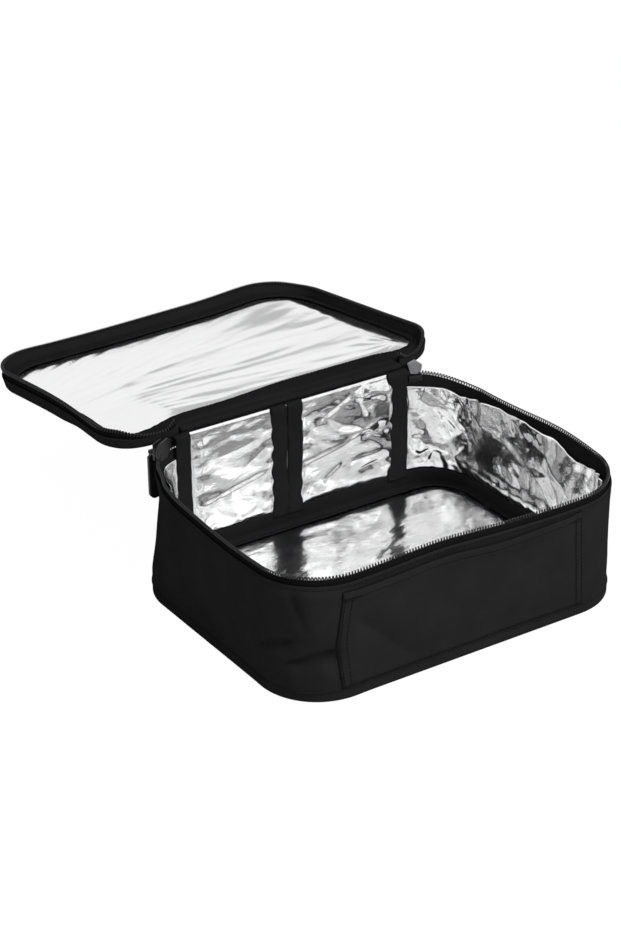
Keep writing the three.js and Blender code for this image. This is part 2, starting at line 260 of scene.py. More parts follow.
def bow(station, share):
    """How far the front and side walls stand out between the base and the rim."""
    front = bell(station, FRONT_MIDDLE + 0.02, 0.09)
    left = bell(station, (LEFT_START + LEFT_END) / 2, 0.05)
    right = bell(station, (RIGHT_START + RIGHT_END) / 2, 0.05)
    belly = np.sin(math.pi * np.clip(share, 0, 1)) ** 1.2
    right_lean = sizes().rim_bow * bell(station, RIGHT_START + 0.036, 0.045)
    lean = 0.0014 * front * share**2 + right_lean * share**1.5
    foot = bell(share, 0.04, 0.10) * (0.0008 + 0.0014 * bell(station, LEFT_END + QUARTER * 0.55, 0.030))
    return belly * (0.0016 * front + 0.0012 * left + 0.0008 * right) + lean + foot


def from_back(station):
    """The station counted from the middle of the back, left or right of it being plus or minus."""
    return np.mod(station + PERIMETER / 2, PERIMETER) - PERIMETER / 2


def laid_open(points):
    """Points of the shut lid, given its slack and turned to where the lid rests."""
    return opened(lid_shape(points))


def lid_place(station, inset, height):
    """A place on the lid, given where it lies when the bag is shut, turned to where it rests."""
    return laid_open(place(station, inset, height))


def lid_shape(points):
    """The lid's own slack: its rim flares, its edges wave, and its zip climbs to the hinge at its ends."""
    shaped = points.copy()
    x, y, z = points[..., 0], points[..., 1], points[..., 2]
    flare = 1 - ramp(z, HINGE_Z - 0.0105, HINGE_Z + 0.0025)
    shaped[..., 0] = x * (1 + 0.017 * flare)
    shaped[..., 1] = HINGE_Y + (y - HINGE_Y) * (1 + 0.012 * flare)
    from_hinge = np.clip((HINGE_Y - y) / (2 * HALF_WIDTH), 0, 1)
    far = ramp(from_hinge, 0.45, 1)
    far_wave = 0.0014 * ramp(-x, -0.045, 0.050) - 0.0008 * ramp(-x, 0.070, 0.110)
    far_wave = far_wave - 0.0031 * bell(x, 0.094, 0.034) + 0.0018 * ramp(x, 0.110, 0.130)
    hang = 0.0073 * ramp(-x, 0.070, 0.128) - 0.0010 * ramp(x, 0.080, 0.125)
    deep = 0.0024 * ramp(-x, 0.060, 0.124) * (1 - flare) * ramp(from_hinge, 0.30, 0.45)
    past_corner = ramp(np.abs(x), STRAIGHT_X - 0.004, STRAIGHT_X + 0.008)
    ends = past_corner * ramp(y, HALF_WIDTH - 0.022, HALF_WIDTH - 0.0015)
    climb = 0.0070 * ends * (1 - ramp(z, HINGE_Z - 0.0105, HINGE_Z - 0.0020))
    shaped[..., 2] += far * far_wave + hang * bell(from_hinge, 0.09, 0.235) + deep + climb
    return shaped


def opened(points):
    """Points drawn with the bag shut, turned back round the hinge to the open lid."""
    y = points[..., 1] - HINGE_Y
    z = points[..., 2] - HINGE_Z
    turned = points.copy()
    turned[..., 1] = HINGE_Y + math.cos(LID_TURN) * y + math.sin(LID_TURN) * z
    turned[..., 2] = HINGE_Z - math.sin(LID_TURN) * y + math.cos(LID_TURN) * z
    return turned


# Relief


def rough(u, v, scale, seed):
    """Smooth noise between about -1 and 1, with bumps about a scale across."""
    flat_u, flat_v = (np.broadcast_to(axis, np.broadcast(u, v).shape).ravel() / scale for axis in (u, v))
    depth = 7.31 * seed + 0.5
    values = [noise.noise((a, b, depth)) for a, b in zip(flat_u.tolist(), flat_v.tolist())]
    return np.array(values).reshape(np.broadcast(u, v).shape)


def wander(along, scale, seed):
    """Smooth noise that changes along one line only."""
    return rough(along, along * 0, scale, seed)


def crease(u, v, start, end, before, after, height):
    """A fold along a line: its height falls off at one rate before the line and another after it."""
    along = np.array(end) - np.array(start)
    length = np.hypot(*along)
    unit = along / length
    du = u - start[0]
    dv = v - start[1]
    share = (du * unit[0] + dv * unit[1]) / length
    across = dv * unit[0] - du * unit[1]
    width = np.where(across > 0, after, before)
    taper = ramp(share, -0.12, 0.25) * (1 - ramp(share, 0.7, 1.12))
    return height * taper * np.exp(-np.abs(across) / width)


# Meshes


def add_object(name, data):
    """A new object in the scene that holds a mesh, lamp or camera."""
    made = bpy.data.objects.new(name, data)
    bpy.context.scene.collection.objects.link(made)
    return made


def plain_mesh(name, points, faces, material):
    """A new object from corner points and faces, in one material."""
    mesh = bpy.data.meshes.new(name)
    mesh.from_pydata([tuple(point) for point in points], [], faces)
    mesh.materials.append(material)
    return add_object(name, mesh)


def new_piece(name, points, faces, material, corner_uvs=None):
    """A smooth mesh object with its place in its mesh, and its pattern's UV map in metres."""
    mesh = bpy.data.meshes.new(name)
    mesh.from_pydata(np.asarray(points).reshape(-1, 3).tolist(), [], np.asarray(faces).tolist())
    if corner_uvs is not None:
        layer = mesh.uv_layers.new(name="cloth")
        layer.data.foreach_set("uv", np.asarray(corner_uvs, np.float32).ravel())
    mesh.shade_smooth()
    mesh.materials.append(material)
    mesh.validate()
    return add_object(name, mesh)


def face_outwards(piece):
    """Turns a closed mesh's faces outwards if its volume comes out negative."""
    mesh = piece.data
    mesh.calc_loop_triangles()
    points = np.array([vertex.co for vertex in mesh.vertices])
    triangles = np.array([triangle.vertices[:] for triangle in mesh.loop_triangles])
    a, b, c = (points[triangles[:, k]] for k in range(3))
    if np.einsum("ij,ij->i", a, np.cross(b, c)).sum() < 0:
        mesh.flip_normals()
    return piece


def grid_quads(rows, columns, wrap_rows, wrap_columns):
    """Quads of a grid as vertex numbers, and the same quads as numbers into an unwrapped grid."""
    row_count = rows if wrap_rows else rows - 1
    column_count = columns if wrap_columns else columns - 1
    r, c = np.meshgrid(np.arange(row_count), np.arange(column_count), indexing="ij")
    r, c = r.ravel(), c.ravel()
    corners = [(r, c), (r, c + 1), (r + 1, c + 1), (r + 1, c)]
    quads = np.stack([(i % rows) * columns + (j % columns) for i, j in corners], axis=1)
    wide = columns + 1
    unwrapped = np.stack([i * wide + j for i, j in corners], axis=1)
    return quads, unwrapped


def spread(u, v, rows, columns):
    """A UV for each point of the unwrapped grid, from one value per row or column, or a grid."""
    wide = np.zeros((rows + 1, columns + 1, 2))
    for k, values in enumerate((u, v)):
        full = np.broadcast_to(values, (rows + 1, columns + 1))
        wide[..., k] = full
    return wide.reshape(-1, 2)


def with_end(values):
    """One value more at the end of a list, for the side that closes on itself."""
    return np.append(values, values[-1] + (values[-1] - values[-2]))


def tube_strip(name, points, material, stations, closed=False):
    """A solid strip from the closed loop of points of its section at each station."""
    rows, columns = points.shape[:2]
    quads, unwrapped = grid_quads(rows, columns, True, closed)
    around = np.linalg.norm(np.diff(points[:, 0], axis=0, append=points[:1, 0]), axis=-1)
    v = np.concatenate([[0], np.cumsum(around)])[:, None]
    u = with_end(stations)[None, :]
    uvs = spread(u, v, rows, columns)
    faces = quads.tolist()
    corner_uvs = uvs[unwrapped].reshape(-1, 2).tolist()
    if not closed:
        half = rows // 2
        for column, flip in ((0, False), (columns - 1, True)):
            for i in range(half - 1):
                quad = [i, i + 1, rows - 2 - i, rows - 1 - i]
                quad = quad[::-1] if flip else quad
                faces.append([row * columns + column for row in quad])
                corner_uvs += [uvs[row * (columns + 1) + column].tolist() for row in quad]
    return face_outwards(new_piece(name, points, faces, material, corner_uvs))


def sheet(name, front, back, material, u, v):
    """A closed sheet between two grids of points that lie face to face."""
    rows, columns = front.shape[:2]
    count = rows * columns
    quads, unwrapped = grid_quads(rows, columns, False, False)
    uvs = spread(with_end(u)[None, :] if u.ndim == 1 else np.pad(u, ((0, 1), (0, 1)), "edge"),
                 with_end(v)[:, None] if v.ndim == 1 else np.pad(v, ((0, 1), (0, 1)), "edge"), rows, columns)
    faces = quads.tolist() + (quads[:, ::-1] + count).tolist()
    corner_uvs = uvs[unwrapped].reshape(-1, 2).tolist() + uvs[unwrapped[:, ::-1]].reshape(-1, 2).tolist()
    top = [(0, c) for c in range(columns)]
    side = [(r, columns - 1) for r in range(1, rows)]
    bottom = [(rows - 1, c) for c in range(columns - 2, -1, -1)]
    other = [(r, 0) for r in range(rows - 2, 0, -1)]
    border = top + side + bottom + other
    for (r0, c0), (r1, c1) in zip(border, border[1:] + border[:1]):
        a, b = r0 * columns + c0, r1 * columns + c1
        faces.append([b, a, a + count, b + count])
        near = [uvs[r1 * (columns + 1) + c1].tolist(), uvs[r0 * (columns + 1) + c0].tolist()]
        corner_uvs += near + near[::-1]
    points = np.concatenate([front.reshape(-1, 3), back.reshape(-1, 3)])
    return face_outwards(new_piece(name, points, faces, material, corner_uvs))


def finish(piece, body, slot, *nodes):
    """Puts a finished piece on its body, in place of its nodes. Its slot is not used."""
    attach(piece, body)
    if nodes:
        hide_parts(*nodes)
    return piece


def steps_between(start, end, step):
    return np.linspace(start, end, max(int(round((end - start) / step)), 2) + 1)


def ring(sides):
    """The angles of a ring's corners, evenly spaced."""
    return np.arange(sides) / sides * 2 * math.pi


def section(outer, inner, low_z, high_z, step):
    """A strip's section as insets and heights: up its outer side and down its inner one."""
    thick = inner - outer
    soft = np.array([0.42, 0.14, 0.0]) * thick
    rise = np.array([0.0, 0.16, 0.5]) * thick
    heights = steps_between(low_z + rise[-1], high_z - rise[-1], step)[1:-1]
    z = np.concatenate([low_z + rise, heights, high_z - rise[::-1]])
    edge = np.concatenate([soft, np.zeros(len(heights)), soft[::-1]])
    insets = np.concatenate([outer + edge, (inner - edge)[::-1]])
    return insets, np.concatenate([z, z[::-1]])


def strip_grid(stations, outer, thick, low_z, high_z, step):
    """A strip's stations, insets and heights, shaped so that they combine into one grid."""
    insets, heights = section(outer, outer + thick, low_z, high_z, step)
    return stations[None, :], insets[:, None], heights[:, None]


# Shader groups and materials


def socket(tree, name, direction, kind, default=None):
    made = tree.interface.new_socket(name=name, in_out=direction, socket_type=kind)
    if default is not None:
        made.default_value = default
    return made


def feed(tree, value, target):
    """Sets a socket to a number, or links it to another node's output."""
    if isinstance(value, (int, float)):
        target.default_value = value
    else:
        tree.links.new(value, target)


def math_node(tree, operation, first, second=None):
    node = tree.nodes.new("ShaderNodeMath")
    node.operation = operation
    feed(tree, first, node.inputs[0])
    if second is not None:
        feed(tree, second, node.inputs[1])
    return node.outputs[0]


def noise_node(tree, vector, scale, detail, distortion=0.0):
    node = tree.nodes.new("ShaderNodeTexNoise")
    node.inputs["Detail"].default_value = detail
    node.inputs["Distortion"].default_value = distortion
    tree.links.new(vector, node.inputs["Vector"])
    feed(tree, scale, node.inputs["Scale"])
    return node


def new_group(name, kind, inputs, outputs):
    """An empty group of nodes with named inputs and outputs, and its two end nodes."""
    tree = bpy.data.node_groups.new(name, kind)
    for input_name, socket_kind, default in inputs:
        socket(tree, input_name, "INPUT", socket_kind, default)
    for output_name, socket_kind in outputs:
        socket(tree, output_name, "OUTPUT", socket_kind)
    return tree, tree.nodes.new("NodeGroupInput"), tree.nodes.new("NodeGroupOutput")


def weave_group():
    """A plain weave on the UV map: warp and weft threads that pass over and under."""
    if "weave" in bpy.data.node_groups:
        return bpy.data.node_groups["weave"]
    inputs = [("Thread Pitch", "NodeSocketFloat", 0.0006), ("Rib", "NodeSocketFloat", 1.0)]
    outputs = [("Height", "NodeSocketFloat"), ("Thread Mask", "NodeSocketFloat")]
    tree, inside, out = new_group("weave", "ShaderNodeTree", inputs, outputs)
    uv = tree.nodes.new("ShaderNodeUVMap")
    uv.uv_map = "cloth"
    split = tree.nodes.new("ShaderNodeSeparateXYZ")
    tree.links.new(uv.outputs["UV"], split.inputs[0])
    turn = math_node(tree, "DIVIDE", math.pi, inside.outputs["Thread Pitch"])
    across = math_node(tree, "MULTIPLY", split.outputs["X"], turn)
    along = math_node(tree, "MULTIPLY", split.outputs["Y"], turn)
    along = math_node(tree, "MULTIPLY", along, inside.outputs["Rib"])
    warp = math_node(tree, "ABSOLUTE", math_node(tree, "SINE", across))
    weft = math_node(tree, "ABSOLUTE", math_node(tree, "SINE", along))
    half_across = math_node(tree, "SINE", math_node(tree, "MULTIPLY", across, 0.5))
    half_along = math_node(tree, "SINE", math_node(tree, "MULTIPLY", along, 0.5))
    over = math_node(tree, "GREATER_THAN", math_node(tree, "MULTIPLY", half_across, half_along), 0.0)
    under = math_node(tree, "SUBTRACT", 1.0, over)
    height = math_node(
        tree, "ADD", math_node(tree, "MULTIPLY", warp, over), math_node(tree, "MULTIPLY", weft, under)
    )
    tree.links.new(height, out.inputs["Height"])
    tree.links.new(over, out.inputs["Thread Mask"])
    return tree


def mottle_group():
    """Slow changes in tone over a surface, with fine dust on top."""
    if "mottle" in bpy.data.node_groups:
        return bpy.data.node_groups["mottle"]
    inputs = [
        ("Color", "NodeSocketColor", None), ("Amount", "NodeSocketFloat", 0.15),
        ("Scale", "NodeSocketFloat", 40.0), ("Dust", "NodeSocketFloat", 0.02),
    ]
    outputs = [("Color", "NodeSocketColor"), ("Value", "NodeSocketFloat")]
    tree, inside, out = new_group("mottle", "ShaderNodeTree", inputs, outputs)
    where = tree.nodes.new("ShaderNodeTexCoord")
    cloud = noise_node(tree, where.outputs["Object"], inside.outputs["Scale"], 5)
    centred = math_node(tree, "SUBTRACT", cloud.outputs["Fac"], 0.5)
    swing = math_node(tree, "MULTIPLY", centred, inside.outputs["Amount"])
    gain = math_node(tree, "ADD", math_node(tree, "MULTIPLY", swing, 4.0), 1.0)
    specks = noise_node(tree, where.outputs["Object"], 900, 2)
    bright = math_node(tree, "POWER", specks.outputs["Fac"], 6.0)
    lift = math_node(tree, "MULTIPLY", bright, inside.outputs["Dust"])
    scaled = tree.nodes.new("ShaderNodeVectorMath")
    scaled.operation = "SCALE"
    tree.links.new(inside.outputs["Color"], scaled.inputs[0])
    tree.links.new(gain, scaled.inputs["Scale"])
    added = tree.nodes.new("ShaderNodeVectorMath")
    added.operation = "ADD"
    tree.links.new(scaled.outputs[0], added.inputs[0])
    tree.links.new(lift, added.inputs[1])
    tree.links.new(added.outputs[0], out.inputs["Color"])
    tree.links.new(cloud.outputs["Fac"], out.inputs["Value"])
    return tree


def height_group(name, scale):
    """An empty shader group that turns a scale and a share of fine detail into a height."""
    inputs = [("Scale", "NodeSocketFloat", scale), ("Fine", "NodeSocketFloat", 0.3)]
    return new_group(name, "ShaderNodeTree", inputs, [("Height", "NodeSocketFloat")])


def wrinkle_group():
    """Fine wrinkles as a height, in two sizes, for film and smooth fabric."""
    if "wrinkles" in bpy.data.node_groups:
        return bpy.data.node_groups["wrinkles"]
    tree, inside, out = height_group("wrinkles", 90.0)
    where = tree.nodes.new("ShaderNodeTexCoord")
    coarse = noise_node(tree, where.outputs["Object"], inside.outputs["Scale"], 3, 0.6)
    closer = math_node(tree, "MULTIPLY", inside.outputs["Scale"], 4.0)
    fine = noise_node(tree, where.outputs["Object"], closer, 4)
    finer = math_node(tree, "MULTIPLY", fine.outputs["Fac"], inside.outputs["Fine"])
    height = math_node(tree, "ADD", coarse.outputs["Fac"], finer)
    tree.links.new(height, out.inputs["Height"])
    return tree


def place_group(material, group, values):
    node = material.node_tree.nodes.new("ShaderNodeGroup")
    node.node_tree = group
    for name, value in values.items():
        node.inputs[name].default_value = value
    return node


def principled(name, settings):
    """A new material with its Principled shader's plain values set on the sockets."""
    material = bpy.data.materials.new(name)
    material.use_nodes = True
    shader = material.node_tree.nodes["Principled BSDF"]
    for socket_name, value in settings.items():
        shader.inputs[socket_name].default_value = value
    return material, shader


def ranged(tree, source, low_value, high_value):
    node = tree.nodes.new("ShaderNodeMapRange")
    node.inputs["From Min"].default_value = 0.3
    node.inputs["From Max"].default_value = 0.7
    node.inputs["To Min"].default_value = low_value
    node.inputs["To Max"].default_value = high_value
    tree.links.new(source, node.inputs["Value"])
    return node.outputs["Result"]


def toned(material, shader, base, amount, scale, dust, rough_range):
    """Gives a shader its colour and gloss, both of which drift slowly over the piece."""
    values = {"Color": base, "Amount": amount, "Scale": scale, "Dust": dust}
    tone = place_group(material, mottle_group(), values)
    tree = material.node_tree
    tree.links.new(tone.outputs["Color"], shader.inputs["Base Color"])
    tree.links.new(ranged(tree, tone.outputs["Value"], *rough_range), shader.inputs["Roughness"])


def bumped(tree, shader, heights):
    """Chains bump nodes, each with its height source, strength and distance, into the shader."""
    normal = None
    for source, strength, distance in heights:
        bump = tree.nodes.new("ShaderNodeBump")
        bump.inputs["Strength"].default_value = strength
        bump.inputs["Distance"].default_value = distance
        tree.links.new(source, bump.inputs["Height"])
        if normal is not None:
            tree.links.new(normal, bump.inputs["Normal"])
        normal = bump.outputs["Normal"]
    tree.links.new(normal, shader.inputs["Normal"])


def cloth_material(name, base, pitch, rib=1.0, rough_range=(0.5, 0.66), depth=0.00012):
    """Woven cloth: threads and small puckers as relief, tone and gloss that drift over it."""
    if name in bpy.data.materials:
        return bpy.data.materials[name]
    material, shader = principled(name, {"Specular IOR Level": 0.0})
    toned(material, shader, base, 0.12, 38.0, 0.004, rough_range)
    weave = place_group(material, weave_group(), {"Thread Pitch": pitch, "Rib": rib})
    puckers = place_group(material, wrinkle_group(), {"Scale": 140.0, "Fine": 0.35})
    heights = [(puckers.outputs["Height"], 0.25, 0.0006), (weave.outputs["Height"], 0.5, depth)]
    bumped(material.node_tree, shader, heights)
    return material


def film_group():
    """Sharp creases and soft dents as a height, drawn out along one slant, for aluminised film."""
    if "film_creases" in bpy.data.node_groups:
        return bpy.data.node_groups["film_creases"]
    tree, inside, out = height_group("film_creases", 70.0)
    where = tree.nodes.new("ShaderNodeTexCoord")
    slanted = tree.nodes.new("ShaderNodeMapping")
    slanted.inputs["Rotation"].default_value = (0.6, -0.5, 0.4)
    slanted.inputs["Scale"].default_value = (0.5, 1.0, 1.1)
    tree.links.new(where.outputs["Object"], slanted.inputs["Vector"])
    scale = inside.outputs["Scale"]
    ridges = noise_node(tree, slanted.outputs["Vector"], math_node(tree, "MULTIPLY", scale, 1.0), 2.5, 0.5)
    ridges.noise_type = "RIDGED_MULTIFRACTAL"
    dents = noise_node(tree, slanted.outputs["Vector"], math_node(tree, "MULTIPLY", scale, 2.6), 2)
    sharp = math_node(tree, "MULTIPLY", ridges.outputs["Fac"], 0.5)
    soft = math_node(tree, "MULTIPLY", dents.outputs["Fac"], inside.outputs["Fine"])
    tree.links.new(math_node(tree, "ADD", sharp, soft), out.inputs["Height"])
    return tree


def foil_material():
    """Aluminised film: a mirror with fine creases and a little haze."""
    if "crinkled_foil" in bpy.data.materials:
        return bpy.data.materials["crinkled_foil"]
    material, shader = principled("crinkled_foil", {"Metallic": 1.0})
    # The base is raised above the lid foil's as painted light, for the dimmer reflections inside the bag.
    toned(material, shader, colours().foil, 0.05, 60.0, 0.0, (0.11, 0.22))
    film = place_group(material, film_group(), {"Scale": 62.0, "Fine": 0.35})
    fine = place_group(material, film_group(), {"Scale": 210.0, "Fine": 0.6})
    heights = [(film.outputs["Height"], 0.42, 0.0016), (fine.outputs["Height"], 0.17, 0.0007)]
    bumped(material.node_tree, shader, heights)
    return material


def plain_foil_material():
    """The same film pulled tight under the lid, with only faint ripples."""
    if "tight_foil" in bpy.data.materials:
        return bpy.data.materials["tight_foil"]
    material, shader = principled("tight_foil", {"Metallic": 1.0})
    toned(material, shader, colours().lid_foil, 0.02, 30.0, 0.0, (0.10, 0.16))
    film = place_group(material, wrinkle_group(), {"Scale": 60.0, "Fine": 0.12})
    bumped(material.node_tree, shader, [(film.outputs["Height"], 0.12, 0.0008)])
    return material


def smooth_material(name, base, roughness, metallic=0.0, specular=0.5, grain=0.25):
    """Moulded rubber, nylon or cast metal, with a fine grain and small changes in gloss."""
    if name in bpy.data.materials:
        return bpy.data.materials[name]
    material, shader = principled(name, {"Metallic": metallic, "Specular IOR Level": specular})
    toned(material, shader, base, 0.08, 220.0, 0.002, (roughness * 0.85, roughness * 1.15))
    skin = place_group(material, wrinkle_group(), {"Scale": 900.0, "Fine": 0.5})
    bumped(material.node_tree, shader, [(skin.outputs["Height"], grain, 0.00012)])
    return material


def outer_fabric():
    return cloth_material("woven_polyester", colours().fabric, 0.00055)


def binding_cloth():
    return cloth_material("binding_cloth", colours().tape, 0.0008, rib=0.35, rough_range=(0.55, 0.7))


def zip_cloth():
    return cloth_material("zip_cloth", colours().zip_tape, 0.0005, rib=0.6, rough_range=(0.6, 0.75))


def strap_webbing():
    return cloth_material("strap_webbing", colours().webbing, 0.0012, rib=0.7, depth=0.0003)


def coil_nylon():
    return smooth_material("coil_nylon", colours().coil, 0.34, specular=0.2, grain=0.1)


def sewing_thread():
    # The thread's darker tone than the fabric is partly painted shade of the stitch grooves.
    return smooth_material("sewing_thread", colours().thread, 0.55, specular=0.06, grain=0.4)


def pull_rubber():
    return smooth_material("moulded_rubber", colours().rubber, 0.5, specular=0.4, grain=0.3)


def slider_metal(side):
    if side == "left":
        return smooth_material("slider_metal_dark", colours().slider_dark, 0.42, metallic=0.4, grain=0.15)
    # The right side's lighter grey is a painted highlight on the same dark metal.
    return smooth_material("slider_metal_light", colours().slider_painted_highlight, 0.45, metallic=0.6, grain=0.15)


def foam_material():
    """White closed-cell foam: fine pores on a matt skin."""
    if "lining_foam" in bpy.data.materials:
        return bpy.data.materials["lining_foam"]
    material, shader = principled("lining_foam", {"Specular IOR Level": 0.2})
    toned(material, shader, colours().foam, 0.03, 50.0, 0.0, (0.75, 0.9))
    tree = material.node_tree
    where = tree.nodes.new("ShaderNodeTexCoord")
    pores = tree.nodes.new("ShaderNodeTexVoronoi")
    pores.inputs["Scale"].default_value = 1100
    tree.links.new(where.outputs["Object"], pores.inputs["Vector"])
    bumped(tree, shader, [(pores.outputs["Distance"], 0.4, 0.0003)])
    return material


# Patterns that follow a line, made with geometry nodes


def geometry_group(name, inputs):
    """An empty geometry tree with named inputs besides the line that it works along."""
    inputs = [("Geometry", "NodeSocketGeometry", None), *inputs, ("Material", "NodeSocketMaterial", None)]
    return new_group(name, "GeometryNodeTree", inputs, [("Geometry", "NodeSocketGeometry")])


def join_vector(tree, x, y, z):
    node = tree.nodes.new("ShaderNodeCombineXYZ")
    for value, target in zip((x, y, z), node.inputs):
        feed(tree, value, target)
    return node.outputs[0]


def copies_along_line(tree, inside, out, instance):
    """Ends a tree: copies of an instance at each pitch of the line, as real geometry in its material."""
    curve = tree.nodes.new("GeometryNodeMeshToCurve")
    points = tree.nodes.new("GeometryNodeCurveToPoints")
    points.mode = "LENGTH"
    copies = tree.nodes.new("GeometryNodeInstanceOnPoints")
    real = tree.nodes.new("GeometryNodeRealizeInstances")
    smooth = tree.nodes.new("GeometryNodeSetShadeSmooth")
    paint = tree.nodes.new("GeometryNodeSetMaterial")
    links = tree.links
    links.new(inside.outputs["Geometry"], curve.inputs["Mesh"])
    links.new(curve.outputs["Curve"], points.inputs["Curve"])
    links.new(inside.outputs["Pitch"], points.inputs["Length"])
    links.new(points.outputs["Points"], copies.inputs["Points"])
    links.new(points.outputs["Rotation"], copies.inputs["Rotation"])
    links.new(instance, copies.inputs["Instance"])
    links.new(copies.outputs["Instances"], real.inputs["Geometry"])
    links.new(real.outputs["Geometry"], smooth.inputs["Geometry"])
    links.new(smooth.outputs["Geometry"], paint.inputs["Geometry"])
    links.new(inside.outputs["Material"], paint.inputs["Material"])
    links.new(paint.outputs["Geometry"], out.inputs["Geometry"])


def stitch_tree():
    """Short round stitches laid end to end along a line."""
    if "stitch_row" in bpy.data.node_groups:
        return bpy.data.node_groups["stitch_row"]
    tree, inside, out = geometry_group("stitch_row", [
        ("Pitch", "NodeSocketFloat", 0.003), ("Length", "NodeSocketFloat", 0.0022),
        ("Radius", "NodeSocketFloat", 0.0003),
    ])
    stitch = tree.nodes.new("GeometryNodeMeshUVSphere")
    stitch.inputs["Segments"].default_value = 6
    stitch.inputs["Rings"].default_value = 4
    stitch.inputs["Radius"].default_value = 1.0
    shape = tree.nodes.new("GeometryNodeTransform")
    half = math_node(tree, "MULTIPLY", inside.outputs["Length"], 0.5)
    scale = join_vector(tree, inside.outputs["Radius"], inside.outputs["Radius"], half)
    tree.links.new(stitch.outputs["Mesh"], shape.inputs["Geometry"])
    tree.links.new(scale, shape.inputs["Scale"])
    copies_along_line(tree, inside, out, shape.outputs["Geometry"])
    return tree


def coil_tree():
    """One turn of bent wire at each pitch, so that the turns join up into the zip's coil."""
    if "zip_coil_turns" in bpy.data.node_groups:
        return bpy.data.node_groups["zip_coil_turns"]
    tree, inside, out = geometry_group("zip_coil_turns", [
        ("Pitch", "NodeSocketFloat", 0.0015), ("Width", "NodeSocketFloat", 0.0024),
        ("Height", "NodeSocketFloat", 0.0019), ("Wire", "NodeSocketFloat", 0.0003),
    ])
    spiral = tree.nodes.new("GeometryNodeCurveSpiral")
    spiral.inputs["Resolution"].default_value = 10
    spiral.inputs["Rotations"].default_value = 1.0
    spiral.inputs["Start Radius"].default_value = 1.0
    spiral.inputs["End Radius"].default_value = 1.0
    tree.links.new(inside.outputs["Pitch"], spiral.inputs["Height"])
    wire = inside.outputs["Wire"]
    across = math_node(tree, "SUBTRACT", math_node(tree, "MULTIPLY", inside.outputs["Width"], 0.5), wire)
    tall = math_node(tree, "SUBTRACT", math_node(tree, "MULTIPLY", inside.outputs["Height"], 0.5), wire)
    shape = tree.nodes.new("GeometryNodeTransform")
    back_half = math_node(tree, "MULTIPLY", inside.outputs["Pitch"], -0.5)
    tree.links.new(spiral.outputs["Curve"], shape.inputs["Geometry"])
    tree.links.new(join_vector(tree, across, tall, 1.0), shape.inputs["Scale"])
    tree.links.new(join_vector(tree, 0.0, 0.0, back_half), shape.inputs["Translation"])
    ring = tree.nodes.new("GeometryNodeCurvePrimitiveCircle")
    ring.inputs["Resolution"].default_value = 5
    tree.links.new(wire, ring.inputs["Radius"])
    solid = tree.nodes.new("GeometryNodeCurveToMesh")
    solid.inputs["Fill Caps"].default_value = True
    tree.links.new(shape.outputs["Geometry"], solid.inputs["Curve"])
    tree.links.new(ring.outputs["Curve"], solid.inputs["Profile Curve"])
    copies_along_line(tree, inside, out, solid.outputs["Mesh"])
    return tree


def lines_object(name, lines):
    """A mesh of bare edges through each line of points."""
    points, edges = [], []
    for line in lines:
        start = len(points)
        points += [tuple(point) for point in np.asarray(line).reshape(-1, 3)]
        edges += [(i, i + 1) for i in range(start, len(points) - 1)]
    mesh = bpy.data.meshes.new(name)
    mesh.from_pydata(points, edges, [])
    return add_object(name, mesh)


def made_by_nodes(name, lines, tree, values):
    """Runs a tree along some lines and keeps the result as a plain mesh."""
    piece = lines_object(name, lines)
    modifier = piece.modifiers.new(tree.name, "NODES")
    modifier.node_group = tree
    identifiers = {item.name: item.identifier for item in tree.interface.items_tree if item.in_out == "INPUT"}
    for input_name, value in values.items():
        modifier[identifiers[input_name]] = value
    return baked(piece)


def baked(piece):
    """The piece with its modifiers turned into its mesh."""
    bpy.context.view_layer.update()
    graph = bpy.context.evaluated_depsgraph_get()
    mesh = bpy.data.meshes.new_from_object(piece.evaluated_get(graph))
    piece.modifiers.clear()
    piece.data = mesh
    return piece


def stitches(name, lines, body):
    values = {
        "Pitch": sizes().stitch_pitch, "Length": sizes().stitch_pitch * 0.78, "Radius": sizes().stitch_radius,
        "Material": sewing_thread(),
    }
    piece = made_by_nodes(name, lines, stitch_tree(), values)
    return finish(piece, body, "binding_tape")


def coil(name, line, body, node):
    values = {
        "Pitch": sizes().coil_pitch, "Width": COIL_WIDTH, "Height": COIL_TALL, "Wire": sizes().coil_wire,
        "Material": coil_nylon(),
    }
    piece = made_by_nodes(name, [line], coil_tree(), values)
    return finish(piece, body, "zip_coil", node)


# Forms of the body


# How far a fold goes in and out, the coil's section, and the layers' thicknesses
DEEPEST = 0.0026
HIGHEST = 0.0034
COIL_WIDTH = 0.0024
COIL_TALL = 0.0033
CLOTH = 0.0012
LINING = 0.0008
FACING = 0.0006
FOAM = 0.003
# Where the two middle bindings meet, walked to the left from the middle of the back
MIDDLE_SPLIT = -(high("binding_middle_left").x + low("binding_middle_right").x) / 2


def three_sides(step, seam=SEAM_GAP):
    return steps_between(STRAIGHT_X + seam, PERIMETER - STRAIGHT_X - seam, step)


